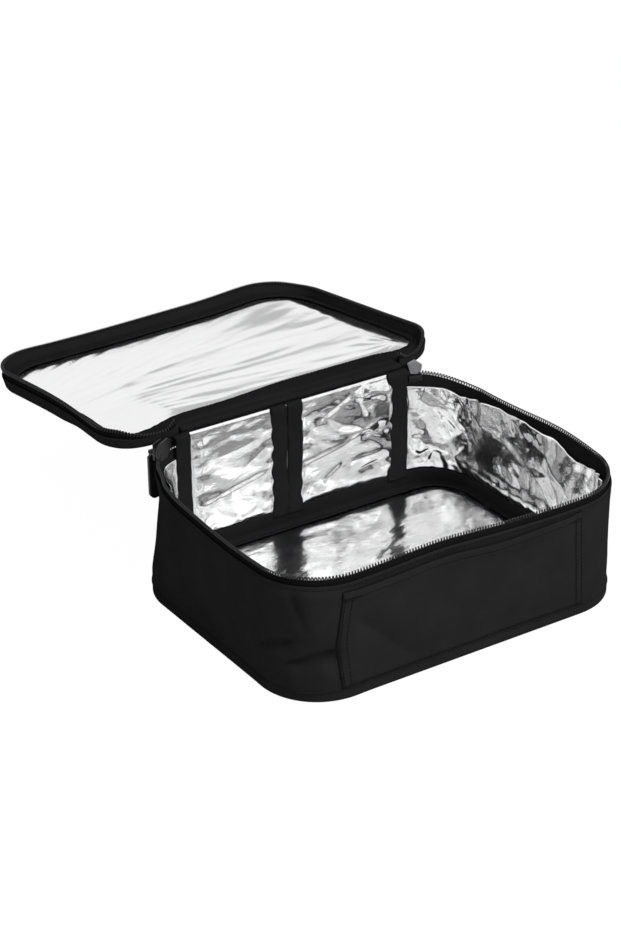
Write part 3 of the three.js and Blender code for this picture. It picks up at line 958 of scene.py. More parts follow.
def corner_folds(station, height):
    """The folds where the side meets the front, and the slack beside them, as listed."""
    def at(degrees):
        return LEFT_END + math.radians(degrees - 180) * CORNER

    def left(y):
        return LEFT_START + STRAIGHT_Y - y

    # For each fold: where it starts and ends, how fast it fades on either side, and its height
    folds = [
        ((at(227), 0.092), (at(233), 0.046), 0.0130, 0.0100, 0.0038),
        ((at(214), 0.080), (at(229), 0.047), 0.0040, 0.0080, -0.0030),
        ((at(250), 0.084), (at(250), 0.036), 0.0050, 0.0060, 0.0010),
        ((left(-0.056), 0.030), (at(232), 0.047), 0.0018, 0.0045, -0.0030),
        ((at(207), 0.026), (at(254), 0.038), 0.0050, 0.0016, -0.0034),
        ((at(212), 0.040), (at(238), 0.052), 0.0030, 0.0050, 0.0024),
        ((at(209), 0.014), (at(250), 0.024), 0.0060, 0.0050, 0.0026),
        ((left(-0.045), 0.037), (left(-0.088), 0.029), 0.0030, 0.0050, 0.0012),
        ((left(-0.020), 0.074), (left(-0.078), 0.046), 0.0110, 0.0090, -0.0014),
        ((left(0.030), 0.072), (left(-0.016), 0.022), 0.0120, 0.0090, 0.0011),
        ((left(0.052), 0.066), (left(0.038), 0.012), 0.0080, 0.0100, -0.0010),
        ((left(-0.004), 0.060), (left(-0.052), 0.050), 0.0070, 0.0040, 0.0009),
        ((FRONT_MIDDLE - 0.092, 0.058), (FRONT_MIDDLE - 0.046, 0.016), 0.0040, 0.0080, -0.0016),
        ((FRONT_MIDDLE - 0.070, 0.064), (FRONT_MIDDLE - 0.030, 0.024), 0.0070, 0.0120, 0.0008),
        ((FRONT_MIDDLE + 0.060, 0.060), (FRONT_MIDDLE + 0.078, 0.020), 0.0080, 0.0060, -0.0008),
        ((FRONT_MIDDLE + 0.020, 0.070), (FRONT_MIDDLE + 0.044, 0.052), 0.0050, 0.0050, -0.0007),
        ((FRONT_END + 0.010, 0.080), (FRONT_END + 0.016, 0.012), 0.0060, 0.0050, 0.0012),
        ((FRONT_END + 0.034, 0.070), (FRONT_END + 0.024, 0.020), 0.0040, 0.0070, -0.0012),
        ((RIGHT_START + 0.030, 0.070), (RIGHT_START + 0.060, 0.020), 0.0100, 0.0080, -0.0012),
        ((RIGHT_START + 0.080, 0.066), (RIGHT_START + 0.066, 0.016), 0.0080, 0.0120, 0.0010),
        ((RIGHT_END + 0.018, 0.078), (RIGHT_END + 0.030, 0.020), 0.0060, 0.0060, -0.0014),
        ((LEFT_START - 0.030, 0.076), (LEFT_START - 0.018, 0.020), 0.0060, 0.0060, -0.0012),
    ]
    near_corner = bell(station, LEFT_END + QUARTER * 0.55, 0.036)
    folded = sum(crease(station, height, *fold) for fold in folds)
    return 0.0012 * near_corner + (1 + 0.55 * near_corner) * folded


def wall_relief(station, height):
    """How far the outer fabric stands out from its even face, with its folds and slack."""
    rim = high("wall_outer").z
    held = ramp(height, 0.002, 0.014) * (1 - ramp(height, rim - 0.009, rim - 0.001))
    on_pocket = bell(station, FRONT_MIDDLE, 0.085) ** 2
    slack = 0.0011 * rough(station, height, 0.052, 1) + 0.0004 * rough(station, height, 0.019, 2)
    folds = corner_folds(station, height)
    relief = sizes().fold_depth * held * (folds + slack * (1 - 0.45 * on_pocket))
    return np.where(relief > 0, HIGHEST * np.tanh(relief / HIGHEST), np.maximum(relief, -DEEPEST))


def rounded(share, radius):
    """How far a round edge has turned in at a share of its height."""
    return radius * (1 - np.sqrt(np.clip(1 - share**2, 0, 1)))


def curl_in(height):
    """How far the wall leans in where it curls under to the bottom panel."""
    reach = sizes().base_round
    return rounded(np.clip(1 - height / reach, 0, 1), reach)


def outer_wall():
    stations = three_sides(sizes().cloth_step)
    s, inset, z = strip_grid(stations, 0, CLOTH, low("wall_outer").z, high("wall_outer").z, 0.0016)
    shape = settled(s, inset + curl_in(z) - wall_relief(s, z), z)
    piece = tube_strip("side_wall_fabric", shape, outer_fabric(), stations)
    return finish(piece, "bag_body", "outer_fabric", "wall_outer")


def back_wall():
    stations = steps_between(-STRAIGHT_X, STRAIGHT_X, sizes().cloth_step)
    s, inset, z = strip_grid(stations, 0, CLOTH, low("back_panel").z, high("back_panel").z, 0.0018)
    top = high("back_panel").z
    held = ramp(z, 0.004, 0.02) * (1 - ramp(z, top - 0.012, top)) * bell(s, 0, 0.075)
    slack = 0.0016 * rough(s, z, 0.045, 11) + 0.0006 * rough(s, z, 0.02, 12)
    shape = place(s, inset + curl_in(z) - held * slack, z)
    piece = tube_strip("back_wall_fabric", shape, outer_fabric(), stations + PERIMETER)
    return finish(piece, "bag_body", "outer_fabric", "back_panel")


def plan_grid(side, front, back, step):
    """Points over the plan, drawn in by its own inset on each side, with rows that end on its edge."""
    reach = HALF_LENGTH - side
    columns = steps_between(-1, 1, step / reach)
    rows = []
    for inset, sign in ((front, -1), (back, 1)):
        radius = CORNER - max(side, inset)
        angles = steps_between(0, math.pi / 2, step / radius)
        edge = HALF_WIDTH - inset
        centre_x, centre_y = reach - radius, edge - radius
        part = [(sign * (centre_y + radius * math.sin(a)), centre_x + radius * math.cos(a)) for a in angles]
        rows.append(part[::-1] if sign < 0 else part)
    middle = [(y, reach) for y in steps_between(rows[0][-1][0], rows[1][0][0], step)[1:-1]]
    line = np.array(rows[0] + middle + rows[1])
    y = np.repeat(line[:, :1], len(columns), axis=1)
    x = line[:, 1:] * columns[None, :]
    return x, y


def edge_distance(x, y, side, front, back):
    """How far a point of the plan lies inside that plan's edge."""
    reach_x = HALF_LENGTH - side
    top = HALF_WIDTH - back
    bottom = HALF_WIDTH - front
    radius = CORNER - max(side, front, back)
    dx = np.abs(x) - (reach_x - radius)
    dy = np.where(y > 0, y - (top - radius), -y - (bottom - radius))
    outside = np.hypot(np.clip(dx, 0, None), np.clip(dy, 0, None))
    return radius - outside - np.minimum(np.maximum(dx, dy), 0)


def plan_sheet(name, x, y, top, bottom, material, turned=None):
    """A flat piece over the plan from the heights of its two faces."""
    top = np.broadcast_to(top, x.shape)
    bottom = np.broadcast_to(bottom, x.shape)
    front = np.stack([x, y, top], axis=-1)
    back = np.stack([x, y, bottom], axis=-1)
    if turned is not None:
        front, back = turned(front), turned(back)
    return sheet(name, front, back, material, x, y)


def bottom_panel():
    inset = sizes().base_round * 0.82
    x, y = plan_grid(inset, inset, inset, 0.0035)
    edge = edge_distance(x, y, inset, inset, inset)
    dish = 0.0008 * ramp(edge, 0.012, 0.05) * (0.5 + 0.5 * rough(x, y, 0.06, 21))
    rise = 0.0007 * (1 - ramp(edge, 0, 0.004))
    piece = plan_sheet("base_fabric", x, y, CLOTH + rise, np.clip(dish, 0, None) + rise, outer_fabric())
    return finish(piece, "bag_body", "outer_fabric", "bottom_panel")


def piping():
    """The thin sewn edge that runs round the base."""
    stations = steps_between(0, PERIMETER, 0.0025)[:-1]
    middle_z = (low("bottom_seam").z + high("bottom_seam").z) / 2
    radius = (high("bottom_seam").z - low("bottom_seam").z) / 2
    turn = ring(10)
    s = stations[None, :]
    sink = 0.0002 + curl_in(middle_z)
    back = (s > BACK_RIGHT) | (s < BACK_LEFT)
    bulge = np.where(back, 0, wall_relief(s, np.full_like(s, middle_z)))
    inset = sink - bulge - radius * 0.8 * np.cos(turn)[:, None]
    z = middle_z + 0.0002 * wander(s, 0.02, 31) + radius * 0.8 * np.sin(turn)[:, None]
    piece = tube_strip("base_piping", settled(s, inset, z), binding_cloth(), stations, closed=True)
    return finish(piece, "bag_body", "binding_tape", "bottom_seam")


POCKET_WIDTH = 0.19


def pocket_edges(height):
    """Where the pocket starts and ends at each height: its left edge is kinked by the fold there."""
    kink = 0.0042 * np.clip(1 - np.abs(height - 0.042) / 0.036, 0, 1)
    start = FRONT_MIDDLE - 0.0976 - kink
    end = FRONT_MIDDLE + 0.0840 + 0.0030 * (1 - height / 0.076)
    return start, end


def pocket_top(share):
    return high("front_pocket").z + 0.0012 - 0.0012 * bell(share, 0.62, 0.12) + 0.0012 * ramp(share, 0.7, 1)


def pocket():
    """A patch pocket: hemmed along the top, lying on the front wall's folds."""
    base = low("front_pocket").z
    margin = steps_between(0, 0.05, 0.0006 / POCKET_WIDTH)
    middle = steps_between(0.05, 0.95, 0.0019 / POCKET_WIDTH)
    across = np.concatenate([margin[:-1], middle[:-1], 1 - margin[::-1]])
    up = np.concatenate([steps_between(0, 0.88, 0.022)[:-1], steps_between(0.88, 1, 0.008)])
    share, rise = across[None, :], up[:, None]
    z = base + rise * (pocket_top(share) - base)
    start, end = pocket_edges(z)
    s = start + share * (end - start)
    relief = wall_relief(s, z)
    edge = np.minimum(s - start, end - s)
    rim = np.minimum(edge, np.minimum(z - base, 1.0))
    puff = 0.0011 * ramp(rim, 0.004, 0.018)
    hem = 0.0007 * ramp(rise, 0.93, 0.95) + 0.0006 * (1 - ramp(edge, 0.006, 0.0075))
    gape = 0.0017 * ramp(rise, 0.8, 1.0) * ramp(edge, 0, 0.012)
    sewn = 0.0007 * bell(edge, 0.0058, 0.0007) + 0.0006 * bell(z, pocket_top(share) - 0.0046, 0.0006)
    out = 0.0009 + puff + hem + gape - sewn - 0.0006 * (1 - ramp(rim, 0, 0.0012))
    front = settled(s, -(out + relief), z)
    behind = settled(s, -(0.00025 + gape * 0.6 + relief), z)
    piece = sheet("pocket_patch", front, behind, outer_fabric(), s, z)
    return finish(piece, "bag_body", "outer_fabric", "front_pocket")


def on_pocket(share, z, lift):
    start, end = pocket_edges(z)
    s = start + share * (end - start)
    return settled(s, -(lift + wall_relief(s, z)), z)


def body_stitches():
    """Stitch rows: round the pocket, under the zip, along the base, and on the bindings."""
    base = low("front_pocket").z
    lines = []
    z = np.linspace(base + 0.002, pocket_top(0) - 0.003, 60)
    for inset in (0.0014, 0.0058):
        lines.append(on_pocket(inset / POCKET_WIDTH, z, 0.0018))
        lines.append(on_pocket(1 - inset / POCKET_WIDTH, z, 0.0018))
    share = np.linspace(0.01, 0.99, 150)
    lines.append(on_pocket(share, pocket_top(share) - 0.0042, 0.0029))
    lines.append(on_pocket(share, np.full_like(share, base + 0.0016), 0.0017))
    stations = three_sides(0.004)
    hem = np.full_like(stations, high("wall_outer").z - 0.0022)
    lines.append(settled(stations, -wall_relief(stations, hem) - 0.0001, hem))
    return stitches("body_stitches", lines, "bag_body")


# Foam, foil and bindings inside


def wall_foam():
    stations = three_sides(0.003)
    outer = inset_of("wall_foam")
    top = high("wall_foam").z - 0.006
    s, inset, z = strip_grid(stations, outer, FOAM, low("wall_foam").z, top, 0.003)
    outer_face = (np.arange(len(inset)) < len(inset) // 2)[:, None]
    pressed = outer_face * np.clip(0.0004 - wall_relief(s, z), 0, DEEPEST)
    piece = tube_strip("wall_foam_pad", settled(s, inset + pressed, z), foam_material(), stations)
    return finish(piece, "bag_body", "foam", "wall_foam")


def back_foam():
    stations = steps_between(-STRAIGHT_X, STRAIGHT_X, 0.006)
    outer = HALF_WIDTH - high("back_foam").y
    s, inset, z = strip_grid(stations, outer, FOAM, low("back_foam").z, high("back_foam").z, 0.004)
    ripple = 0.0002 * rough(s, z, 0.03, 42)
    piece = tube_strip("back_foam_pad", place(s, inset + ripple, z), foam_material(), stations + PERIMETER)
    return finish(piece, "bag_body", "foam", "back_foam")


def bottom_foam():
    inset = inset_of("bottom_foam") + 0.002
    x, y = plan_grid(inset, inset, inset, 0.006)
    top = high("bottom_foam").z - 0.0003 * (0.5 + 0.5 * rough(x, y, 0.04, 43))
    piece = plan_sheet("base_foam_pad", x, y, top, low("bottom_foam").z + 0.0004, foam_material())
    return finish(piece, "bag_body", "foam", "bottom_foam")


def softened(grid, times):
    """The grid with each value averaged with its neighbours a few times over."""
    for _ in range(times):
        for axis in (0, 1):
            wide = np.pad(grid, [(1, 1) if axis == k else (0, 0) for k in (0, 1)], "edge")
            count = grid.shape[axis]
            before, middle, after = (np.take(wide, range(k, k + count), axis=axis) for k in range(3))
            grid = (before + 2 * middle + after) / 4
    return grid


def flat_facets(a, b, seed):
    """Random heights on a jittered grid of unit pitch, joined up by flat triangles."""
    draw = np.random.default_rng(seed)
    columns = np.arange(math.floor(a.min()) - 1, math.ceil(a.max()) + 2)
    rows = np.arange(math.floor(b.min()) - 1, math.ceil(b.max()) + 2)
    points = np.stack(np.meshgrid(columns, rows), axis=-1).reshape(-1, 2).astype(float)
    points += draw.uniform(-0.44, 0.44, points.shape)
    levels = draw.uniform(-1, 1, len(points))
    corners = [Vector(point) for point in points.tolist()]
    placed, _, triangles, origins, _, _ = geometry.delaunay_2d_cdt(corners, [], [], 0, 1e-6)
    total = np.zeros(a.shape)
    for triangle in triangles:
        p, q, r = (np.array(placed[k]) for k in triangle)
        level_p, level_q, level_r = (levels[origins[k][0]] for k in triangle)
        (low_a, low_b), (high_a, high_b) = np.minimum(np.minimum(p, q), r), np.maximum(np.maximum(p, q), r)
        near = np.nonzero((a >= low_a) & (a <= high_a) & (b >= low_b) & (b <= high_b))
        if not len(near[0]):
            continue
        da, db = a[near] - p[0], b[near] - p[1]
        (qa, qb), (ra, rb) = q - p, r - p
        span = qa * rb - qb * ra
        toward_q = (da * rb - db * ra) / span
        toward_r = (qa * db - qb * da) / span
        inside = (toward_q >= -1e-6) & (toward_r >= -1e-6) & (toward_q + toward_r <= 1 + 1e-6)
        level = level_p + toward_q * (level_q - level_p) + toward_r * (level_r - level_p)
        total[near[0][inside], near[1][inside]] = level[inside]
    return total


def crumple(u, v, seed, size, height, slant=0.0, long_way=2.1):
    """Creased film: large flat facets drawn out one way, smaller ones in clusters, and a slow swell."""
    warp_u = u + 0.3 * size * rough(u, v, size * 1.6, seed + 1)
    warp_v = v + 0.3 * size * rough(u, v, size * 1.6, seed + 2)
    c, s = math.cos(slant), math.sin(slant)
    along = warp_u * c + warp_v * s
    across = -warp_u * s + warp_v * c
    large = flat_facets(along / (size * long_way), across / size, seed + 3)
    fine = size * 0.36
    small = flat_facets((along + 0.4 * across) / (fine * 1.6), across / fine, seed + 4)
    busy = ramp(rough(u, v, size * 2.0, seed + 5), -0.15, 0.4)
    total = large + 0.42 * (0.25 + 0.75 * busy) * small + 0.35 * rough(u, v, size * 3, seed + 6)
    return height * softened(total, 1) * sizes().crinkle


def side_foil():
    """The foil on the three free walls: loose, drawn tight at the band and ragged along its top."""
    start, end = STRAIGHT_X + SEAM_GAP, PERIMETER - STRAIGHT_X - SEAM_GAP
    fine = sizes().foil_step
    near = LEFT_START + 0.02
    parts = [(start, near, fine * 1.2), (near, FRONT_END, fine * 3), (FRONT_END, end, fine * 0.85)]
    stations = np.concatenate([steps_between(a, b, step)[:-1] for a, b, step in parts] + [[end]])
    outer = inset_of("wall_lining")
    base = low("wall_lining").z
    tall = 0.072
    up = steps_between(0, 1, fine / tall)
    s = np.broadcast_to(stations[None, :], (len(up), len(stations)))
    edge = 0.0016 * wander(stations, 0.026, 51) + 0.0007 * wander(stations, 0.009, 52)
    for along, width, rise in ((0.100, 0.026, 0.0030), (0.018, 0.024, -0.0035), (0.066, 0.022, 0.0026)):
        edge = edge + rise * bell(stations, RIGHT_START + along, width)
    top = high("wall_lining").z + 0.0004 + edge
    z = base + up[:, None] * (top[None, :] - base)
    from_band = ramp(z, 0.017, 0.030)
    from_seams = ramp(s, start + 0.002, start + 0.016) * (1 - ramp(s, end - 0.016, end - 0.002))
    loose = from_band * from_seams
    fan = (s - RIGHT_START + 0.012) / (0.0042 + 0.0007 * np.clip((0.082 - z) / 0.01, 0, 9))
    pleats = 0.0009 * np.sin(fan * 2.4) * bell(s, RIGHT_START - 0.006, 0.026) * ramp(z, 0.030, 0.060)
    gathers = 0.0002 * np.sin(s / 0.0019 + 2.5 * rough(s, z, 0.012, 53))
    gathers = gathers * (1 - ramp(z, 0.018, 0.034)) * ramp(z, 0.015, 0.02)
    right_back = ramp(s, RIGHT_END - 0.02, RIGHT_END + 0.02)
    deep = crumple(s, z, 54, 0.0135, 0.0016, slant=0.95) * (1.15 + 0.5 * right_back)
    in_corner = crumple(s, z, 58, 0.0068, 0.0015, slant=0.3, long_way=1.4)
    deep = deep + in_corner * bell(s, RIGHT_END + QUARTER * 0.7, 0.036)
    puff = 0.0026 * np.sin(math.pi * np.clip((z - 0.014) / 0.070, 0, 1)) ** 0.8
    overhang = 0.0034 * bell(s, RIGHT_START + 0.075, 0.05) * bell(z, 0.0245, 0.006)
    lip = 0.0020 * (0.4 + 0.8 * wander(s, 0.018, 55)) * ramp(up[:, None], 0.88, 1.0)
    slack = np.clip(deep + puff + pleats, -0.0002, None) + np.clip(lip, 0, None)
    out = loose * slack + gathers * from_seams + overhang
    out = np.clip(out, 0.00003, 0.0078)
    front = settled(s, outer + 0.0004 + out, z)
    behind = settled(s, outer + 0.0001 + out * 0.98, z)
    piece = sheet("side_foil", front, behind, foil_material(), s, z)
    return finish(piece, "bag_body", "foil_lining", "wall_lining")


def back_folds(station, height):
    """The longer folds of the two back panels, as seen on them."""
    folds = [
        ((0.0790, 0.043), (0.0560, 0.047), 0.0012, 0.0060, 0.0016),
        ((0.0600, 0.046), (0.0230, 0.055), 0.0010, 0.0075, 0.0019),
        ((0.0850, 0.085), (0.0700, 0.096), 0.0020, 0.0016, -0.0010),
        ((0.0640, 0.076), (0.0320, 0.080), 0.0025, 0.0040, 0.0008),
        ((0.0440, 0.062), (0.0250, 0.074), 0.0030, 0.0060, 0.0009),
        ((-0.0150, 0.078), (-0.0480, 0.094), 0.0060, 0.0016, -0.0014),
        ((-0.0030, 0.050), (-0.0400, 0.057), 0.0016, 0.0070, 0.0012),
        ((-0.0380, 0.057), (-0.0690, 0.069), 0.0014, 0.0080, 0.0014),
        ((-0.0560, 0.098), (-0.0495, 0.088), 0.0060, 0.0012, 0.0019),
        ((-0.0495, 0.090), (-0.0570, 0.074), 0.0060, 0.0012, 0.0019),
        ((-0.0500, 0.086), (-0.0700, 0.083), 0.0016, 0.0040, -0.0012),
        ((-0.0520, 0.058), (-0.0710, 0.061), 0.0050, 0.0012, -0.0016),
        ((-0.0200, 0.034), (-0.0350, 0.043), 0.0012, 0.0040, 0.0013),
        ((-0.0420, 0.042), (-0.0690, 0.044), 0.0018, 0.0030, 0.0012),
        ((-0.0480, 0.033), (-0.0700, 0.037), 0.0016, 0.0030, -0.0012),
    ]
    return sum(crease(station, height, *fold) for fold in folds)


def over_the_top(run, outer, top):
    """Where a sheet lies that runs up the back wall and on over its top: its inset and height."""
    past = np.clip(run - top, 0, None)
    return outer - past, np.minimum(run, top) + 0.0008 * (1 - np.exp(-past / 0.0006)), past


def back_foil(name, node, start, end, seed):
    """A foil panel on the hinge side, between two bindings, folded over the top of the wall."""
    fine = sizes().foil_step
    stations = steps_between(start, end, fine)
    outer = HALF_WIDTH - high(node).y
    top = high(node).z - 0.0006
    past_top = np.array([0.0003, 0.0007, 0.0013, 0.0020, 0.0028])
    runs = np.concatenate([steps_between(low(node).z, top, fine), top + past_top])
    s, run = np.broadcast_arrays(stations[None, :], runs[:, None])
    inset, z, past = over_the_top(run, outer, top)
    margin = np.minimum(s - start, end - s)
    free = ramp(margin, 0.005, 0.014) * ramp(z, 0.016, 0.026) * (1 - ramp(run, top - 0.010, top + 0.0008))
    side_pull = 0.0004 * np.sin(z / 0.0022 + 2 * rough(s, z, 0.012, seed + 9))
    side_pull = side_pull * (1 - ramp(margin, 0.012, 0.022))
    deep = crumple(s, z, seed, 0.0145, 0.0009, slant=-2.55)
    out = free * (0.0019 + np.clip(deep + back_folds(s, z) + side_pull, -0.0017, None))
    out = np.clip(out, 0.00003, 0.0062)
    front = place(s, inset + 0.0004 + out, z + 0.0003 * ramp(past, 0, 0.0006))
    behind = place(s, inset + 0.0001 + out * 0.98, z)
    piece = sheet(name, front, behind, foil_material(), s, run)
    return finish(piece, "bag_body", "foil_lining", node)


def back_foils():
    back_foil("back_foil_left", "back_lining_left", MIDDLE_SPLIT + SEAM_GAP / 2, STRAIGHT_X, 56)
    back_foil("back_foil_right", "back_lining_right", -STRAIGHT_X, MIDDLE_SPLIT - SEAM_GAP / 2, 57)


def floor_rise(inset):
    """How far the floor's foil and band stand up off the plain floor, away from the walls."""
    return 0.0036 * ramp(inset, 0.0065, 0.017)


def floor_foil():
    inset = inset_of("floor_lining")
    x, y = plan_grid(inset, inset, inset, sizes().foil_step * 1.5)
    free = ramp(edge_distance(x, y, 0.010, 0.010, 0.015), 0.0005, 0.010)
    relief = crumple(x, y, 71, 0.024, 0.0010, slant=0.45, long_way=1.8) + 0.0006 * rough(x, y, 0.09, 72)
    out = np.clip(free * (relief + 0.0006), -0.00015, 0.0035) + floor_rise(edge_distance(x, y, 0, 0, 0))
    base = low("floor_lining").z
    piece = plan_sheet("floor_foil", x, y, base + 0.0005 + out, base + 0.0002 + out * 0.98, foil_material())
    return finish(piece, "bag_body", "foil_lining", "floor_lining")


def floor_band():
    """The wide tape over the floor's seam: flat on the floor, turned up the walls."""
    stations = steps_between(0, PERIMETER, 0.0022)[:-1]
    s = stations[None, :]
    outer = inset_of("floor_binding")
    base = low("floor_binding").z
    thick = LINING
    back = 1 - ramp(np.abs(from_back(s)), BACK_LEFT - 0.004, BACK_LEFT + QUARTER)
    reach = 0.0115 + 0.0050 * back
    wave = 0.0008 * wander(s, 0.024, 61) + 0.0003 * wander(s, 0.008, 62)
    reach = reach + wave
    tall = high("floor_binding").z + 0.0010 * wander(s, 0.03, 63) + 0.0022 * back
    turn = np.array([0.0, 0.3, 0.6, 0.85, 1.0])
    bend = 0.0035
    on_floor = 9
    bent = on_floor + len(turn)
    flat = np.linspace(1, 0.1, on_floor)[:, None]
    floor_inset = outer + thick + bend + (reach - outer - thick - bend) * flat
    curve_inset = outer + thick + bend * (1 - np.sin(turn * math.pi / 2))[:, None] + 0 * s
    curve_z = base + thick + bend * (1 - np.cos(turn * math.pi / 2))[:, None] + 0 * s
    wall_z = base + thick + bend + (tall - base - thick - bend) * np.linspace(0.15, 1, 7)[:, None]
    inner_inset = np.concatenate([floor_inset, curve_inset, outer + thick + 0 * wall_z])
    pucker = 0.0003 * np.sin(s / 0.0019 + 3 * wander(s, 0.02, 64))
    inner_z = np.concatenate([base + thick + 0 * floor_inset, curve_z, wall_z])
    inner_inset[-4:] += pucker * np.array([0.2, 0.5, 0.8, 1.0])[:, None]
    inner_z[:6] += np.clip(pucker, 0, None)
    under_inset = np.clip(inner_inset - thick * 0.9, outer, None)
    under_inset[:on_floor] = inner_inset[:on_floor]
    under_inset[on_floor:bent] = inner_inset[on_floor:bent] - thick * 0.5
    under_z = inner_z.copy()
    under_z[:on_floor] = base
    under_z[on_floor:bent] = inner_z[on_floor:bent] - thick * 0.7
    for z in (inner_z, under_z):
        z[:on_floor] += floor_rise(inner_inset[:on_floor])
    insets = np.concatenate([inner_inset, under_inset[::-1]])
    shape = settled(s, insets, np.concatenate([inner_z, under_z[::-1]]))
    piece = tube_strip("floor_band", shape, binding_cloth(), stations, closed=True)
    return finish(piece, "bag_body", "binding_tape", "floor_binding")


def upright_band(name, node, wider, seed):
    """A tape up the back wall and over its top, a little wavy, its edges pressed down by the stitching."""
    start, end = -high(node).x - wider, -low(node).x + wider
    top = high(node).z - 0.0004
    stations = steps_between(0, 1, 1 / 16)
    outer = inset_of("floor_binding")
    base = high("floor_binding").z - 0.002
    past_top = np.array([0.0004, 0.0009, 0.0016, 0.0026, 0.0040])
    runs = np.concatenate([steps_between(base, top, 0.0016), top + past_top])
    share, run = stations[None, :], runs[:, None]
    inset, z, past = over_the_top(run, outer, top)
    sway = 0.0009 * wander(z, 0.022, seed)
    ragged = 0.0004 * wander(z, 0.006, seed + 1)
    s = start + sway + share * (end - start + ragged * (share - 0.5))
    crown = 0.0006 * np.sin(math.pi * share) ** 0.5
    pucker = 0.00022 * np.sin(z / 0.0018 + 4 * share) * (1 - np.sin(math.pi * share))
    thick = LINING + crown + pucker
    front = place(s, inset + thick, z + 0.0006 * ramp(past, 0, 0.0009))
    behind = place(s, inset + 0.0001 + 0 * crown, z + 0 * share)
    piece = sheet(name, front, behind, binding_cloth(), s + 0 * run, run + 0 * s)
    return finish(piece, "bag_body", "binding_tape", node)


def upright_bands():
    upright_band("band_left", "binding_left", 0.0011, 91)
    upright_band("band_middle_left", "binding_middle_left", 0, 92)
    upright_band("band_middle_right", "binding_middle_right", 0, 93)
    upright_band("band_right", "binding_right", 0.0002, 94)


def rim_tape():
    stations = three_sides(0.003)
    outer = inset_of("body_zip_tape")
    bottom = low("body_zip_tape").z - 0.002
    coil_foot = high("body_zip_coil").z + 0.0006 - COIL_TALL
    s, inset, z = strip_grid(stations, outer, LINING, bottom, coil_foot, 0.0012)
    piece = tube_strip("rim_tape", settled(s, inset, z), zip_cloth(), stations)
    return finish(piece, "bag_body", "zip_tape", "body_zip_tape")


def rim_facing():
    """The black facing behind the foil's ragged edge, up to the coil."""
    stations = three_sides(0.0025)
    outer = inset_of("body_rim_facing")
    top = high("body_rim_facing").z
    s, inset, z = strip_grid(stations, outer, FACING, high("wall_foam").z - 0.0095, top, 0.0014)
    lean = 0.0016 * (1 - ramp(z, low("body_rim_facing").z - 0.004, top))
    ripple = 0.0002 * rough(s, z, 0.012, 65)
    piece = tube_strip("rim_facing_tape", settled(s, inset + lean + ripple, z), binding_cloth(), stations)
    return finish(piece, "bag_body", "binding_tape", "body_rim_facing")


def rim_coil():
    stations = three_sides(0.0012, SEAM_GAP + 0.0008)
    middle = inset_of("body_zip_coil") + COIL_WIDTH / 2
    height = high("body_zip_coil").z + 0.0003 - COIL_TALL / 2
    return coil("rim_coil", settled(stations, middle, height), "bag_body", "body_zip_coil")


def hinge_roll():
    """The rolled binding on the hinge line, which lies round the axis and so suits every lid angle."""
    radius = (high("hinge_binding").z - low("hinge_binding").z) / 2 + 0.0007
    along = steps_between(-STRAIGHT_X, STRAIGHT_X, 0.0016)
    turn = ring(16)
    pucker = 0.04 * (0.5 + 0.5 * np.sin(along / 0.0011)) + 0.04 * (0.5 + wander(along, 0.015, 66))
    x = np.broadcast_to(along[None, :], (len(turn), len(along)))
    y = HINGE_Y + radius * (1.02 - pucker)[None, :] * np.cos(turn)[:, None]
    z = HINGE_Z + radius * (1.02 - pucker)[None, :] * np.sin(turn)[:, None]
    piece = tube_strip("hinge_roll", np.stack([x, y, z], axis=-1), binding_cloth(), along)
    return finish(piece, "bag_body", "binding_tape", "hinge_binding")


def gusset(name, start, end):
    """The loose cloth that closes the zip's end, from the body's rim up to the open lid.
    """
    share, rise = np.linspace(0, 1, 14)[None, :], np.linspace(0, 1, 10)[:, None]
    s = start + share * (end - start)
    foot = settled(s, 0.0030, high("body_zip_coil").z - 0.0008)
    head = lid_place(s, 0.0010, LID["lid_panel"][1] - 0.0012)
    reach = (rise * (1 - ramp(share, 0.5, 1.0)))[..., None]
    front = foot + reach * (head - foot)
    front[..., 1] += 0.0010 * np.sin(math.pi * rise) * np.sin(share * 9)
    behind = front + np.array([0, FACING, 0])
    piece = sheet(name, front, behind, binding_cloth(), s + 0 * rise, rise * 0.012 + 0 * s)
    finish(piece, "bag_body", "binding_tape")
    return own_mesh(piece)


def gussets():
    gusset("gusset_left", BACK_LEFT, BACK_LEFT + 0.019)
    gusset("gusset_right", BACK_RIGHT, BACK_RIGHT - 0.013)


# The lid


def lid_levels():
    """The lid's heights with the bag shut, taken from its nodes."""
    return {node: closed_heights(node) for node in (
        "lid_panel", "lid_wall", "lid_foam", "lid_lining", "lid_binding", "lid_zip_tape", "lid_zip_coil",
        "lid_rim_facing", "carry_handle",
    )}


LID = lid_levels()
HINGE_CLEARANCE = 0.0024
LID_ROUND = 0.0032
LINING_INSET = 0.0035
LINING_CLEARANCE = HINGE_CLEARANCE + 0.0058


def lid_side():
    """The lid's fabric side, rounded over to the top panel."""
    stations = three_sides(sizes().cloth_step)
    bottom = LID["lid_wall"][0]
    top = LID["lid_panel"][1]
    s, inset, z = strip_grid(stations, 0, CLOTH, bottom, top - 0.0002, 0.0009)
    over = rounded(np.clip((z - (top - LID_ROUND)) / LID_ROUND, 0, 1), LID_ROUND)
    ripple = 0.0004 * rough(s, z, 0.03, 81) * (1 - ramp(z, top - 0.003, top))
    piece = tube_strip("lid_side_fabric", lid_place(s, inset + over - ripple, z), outer_fabric(), stations)
    return finish(piece, "lid", "outer_fabric", "lid_wall")


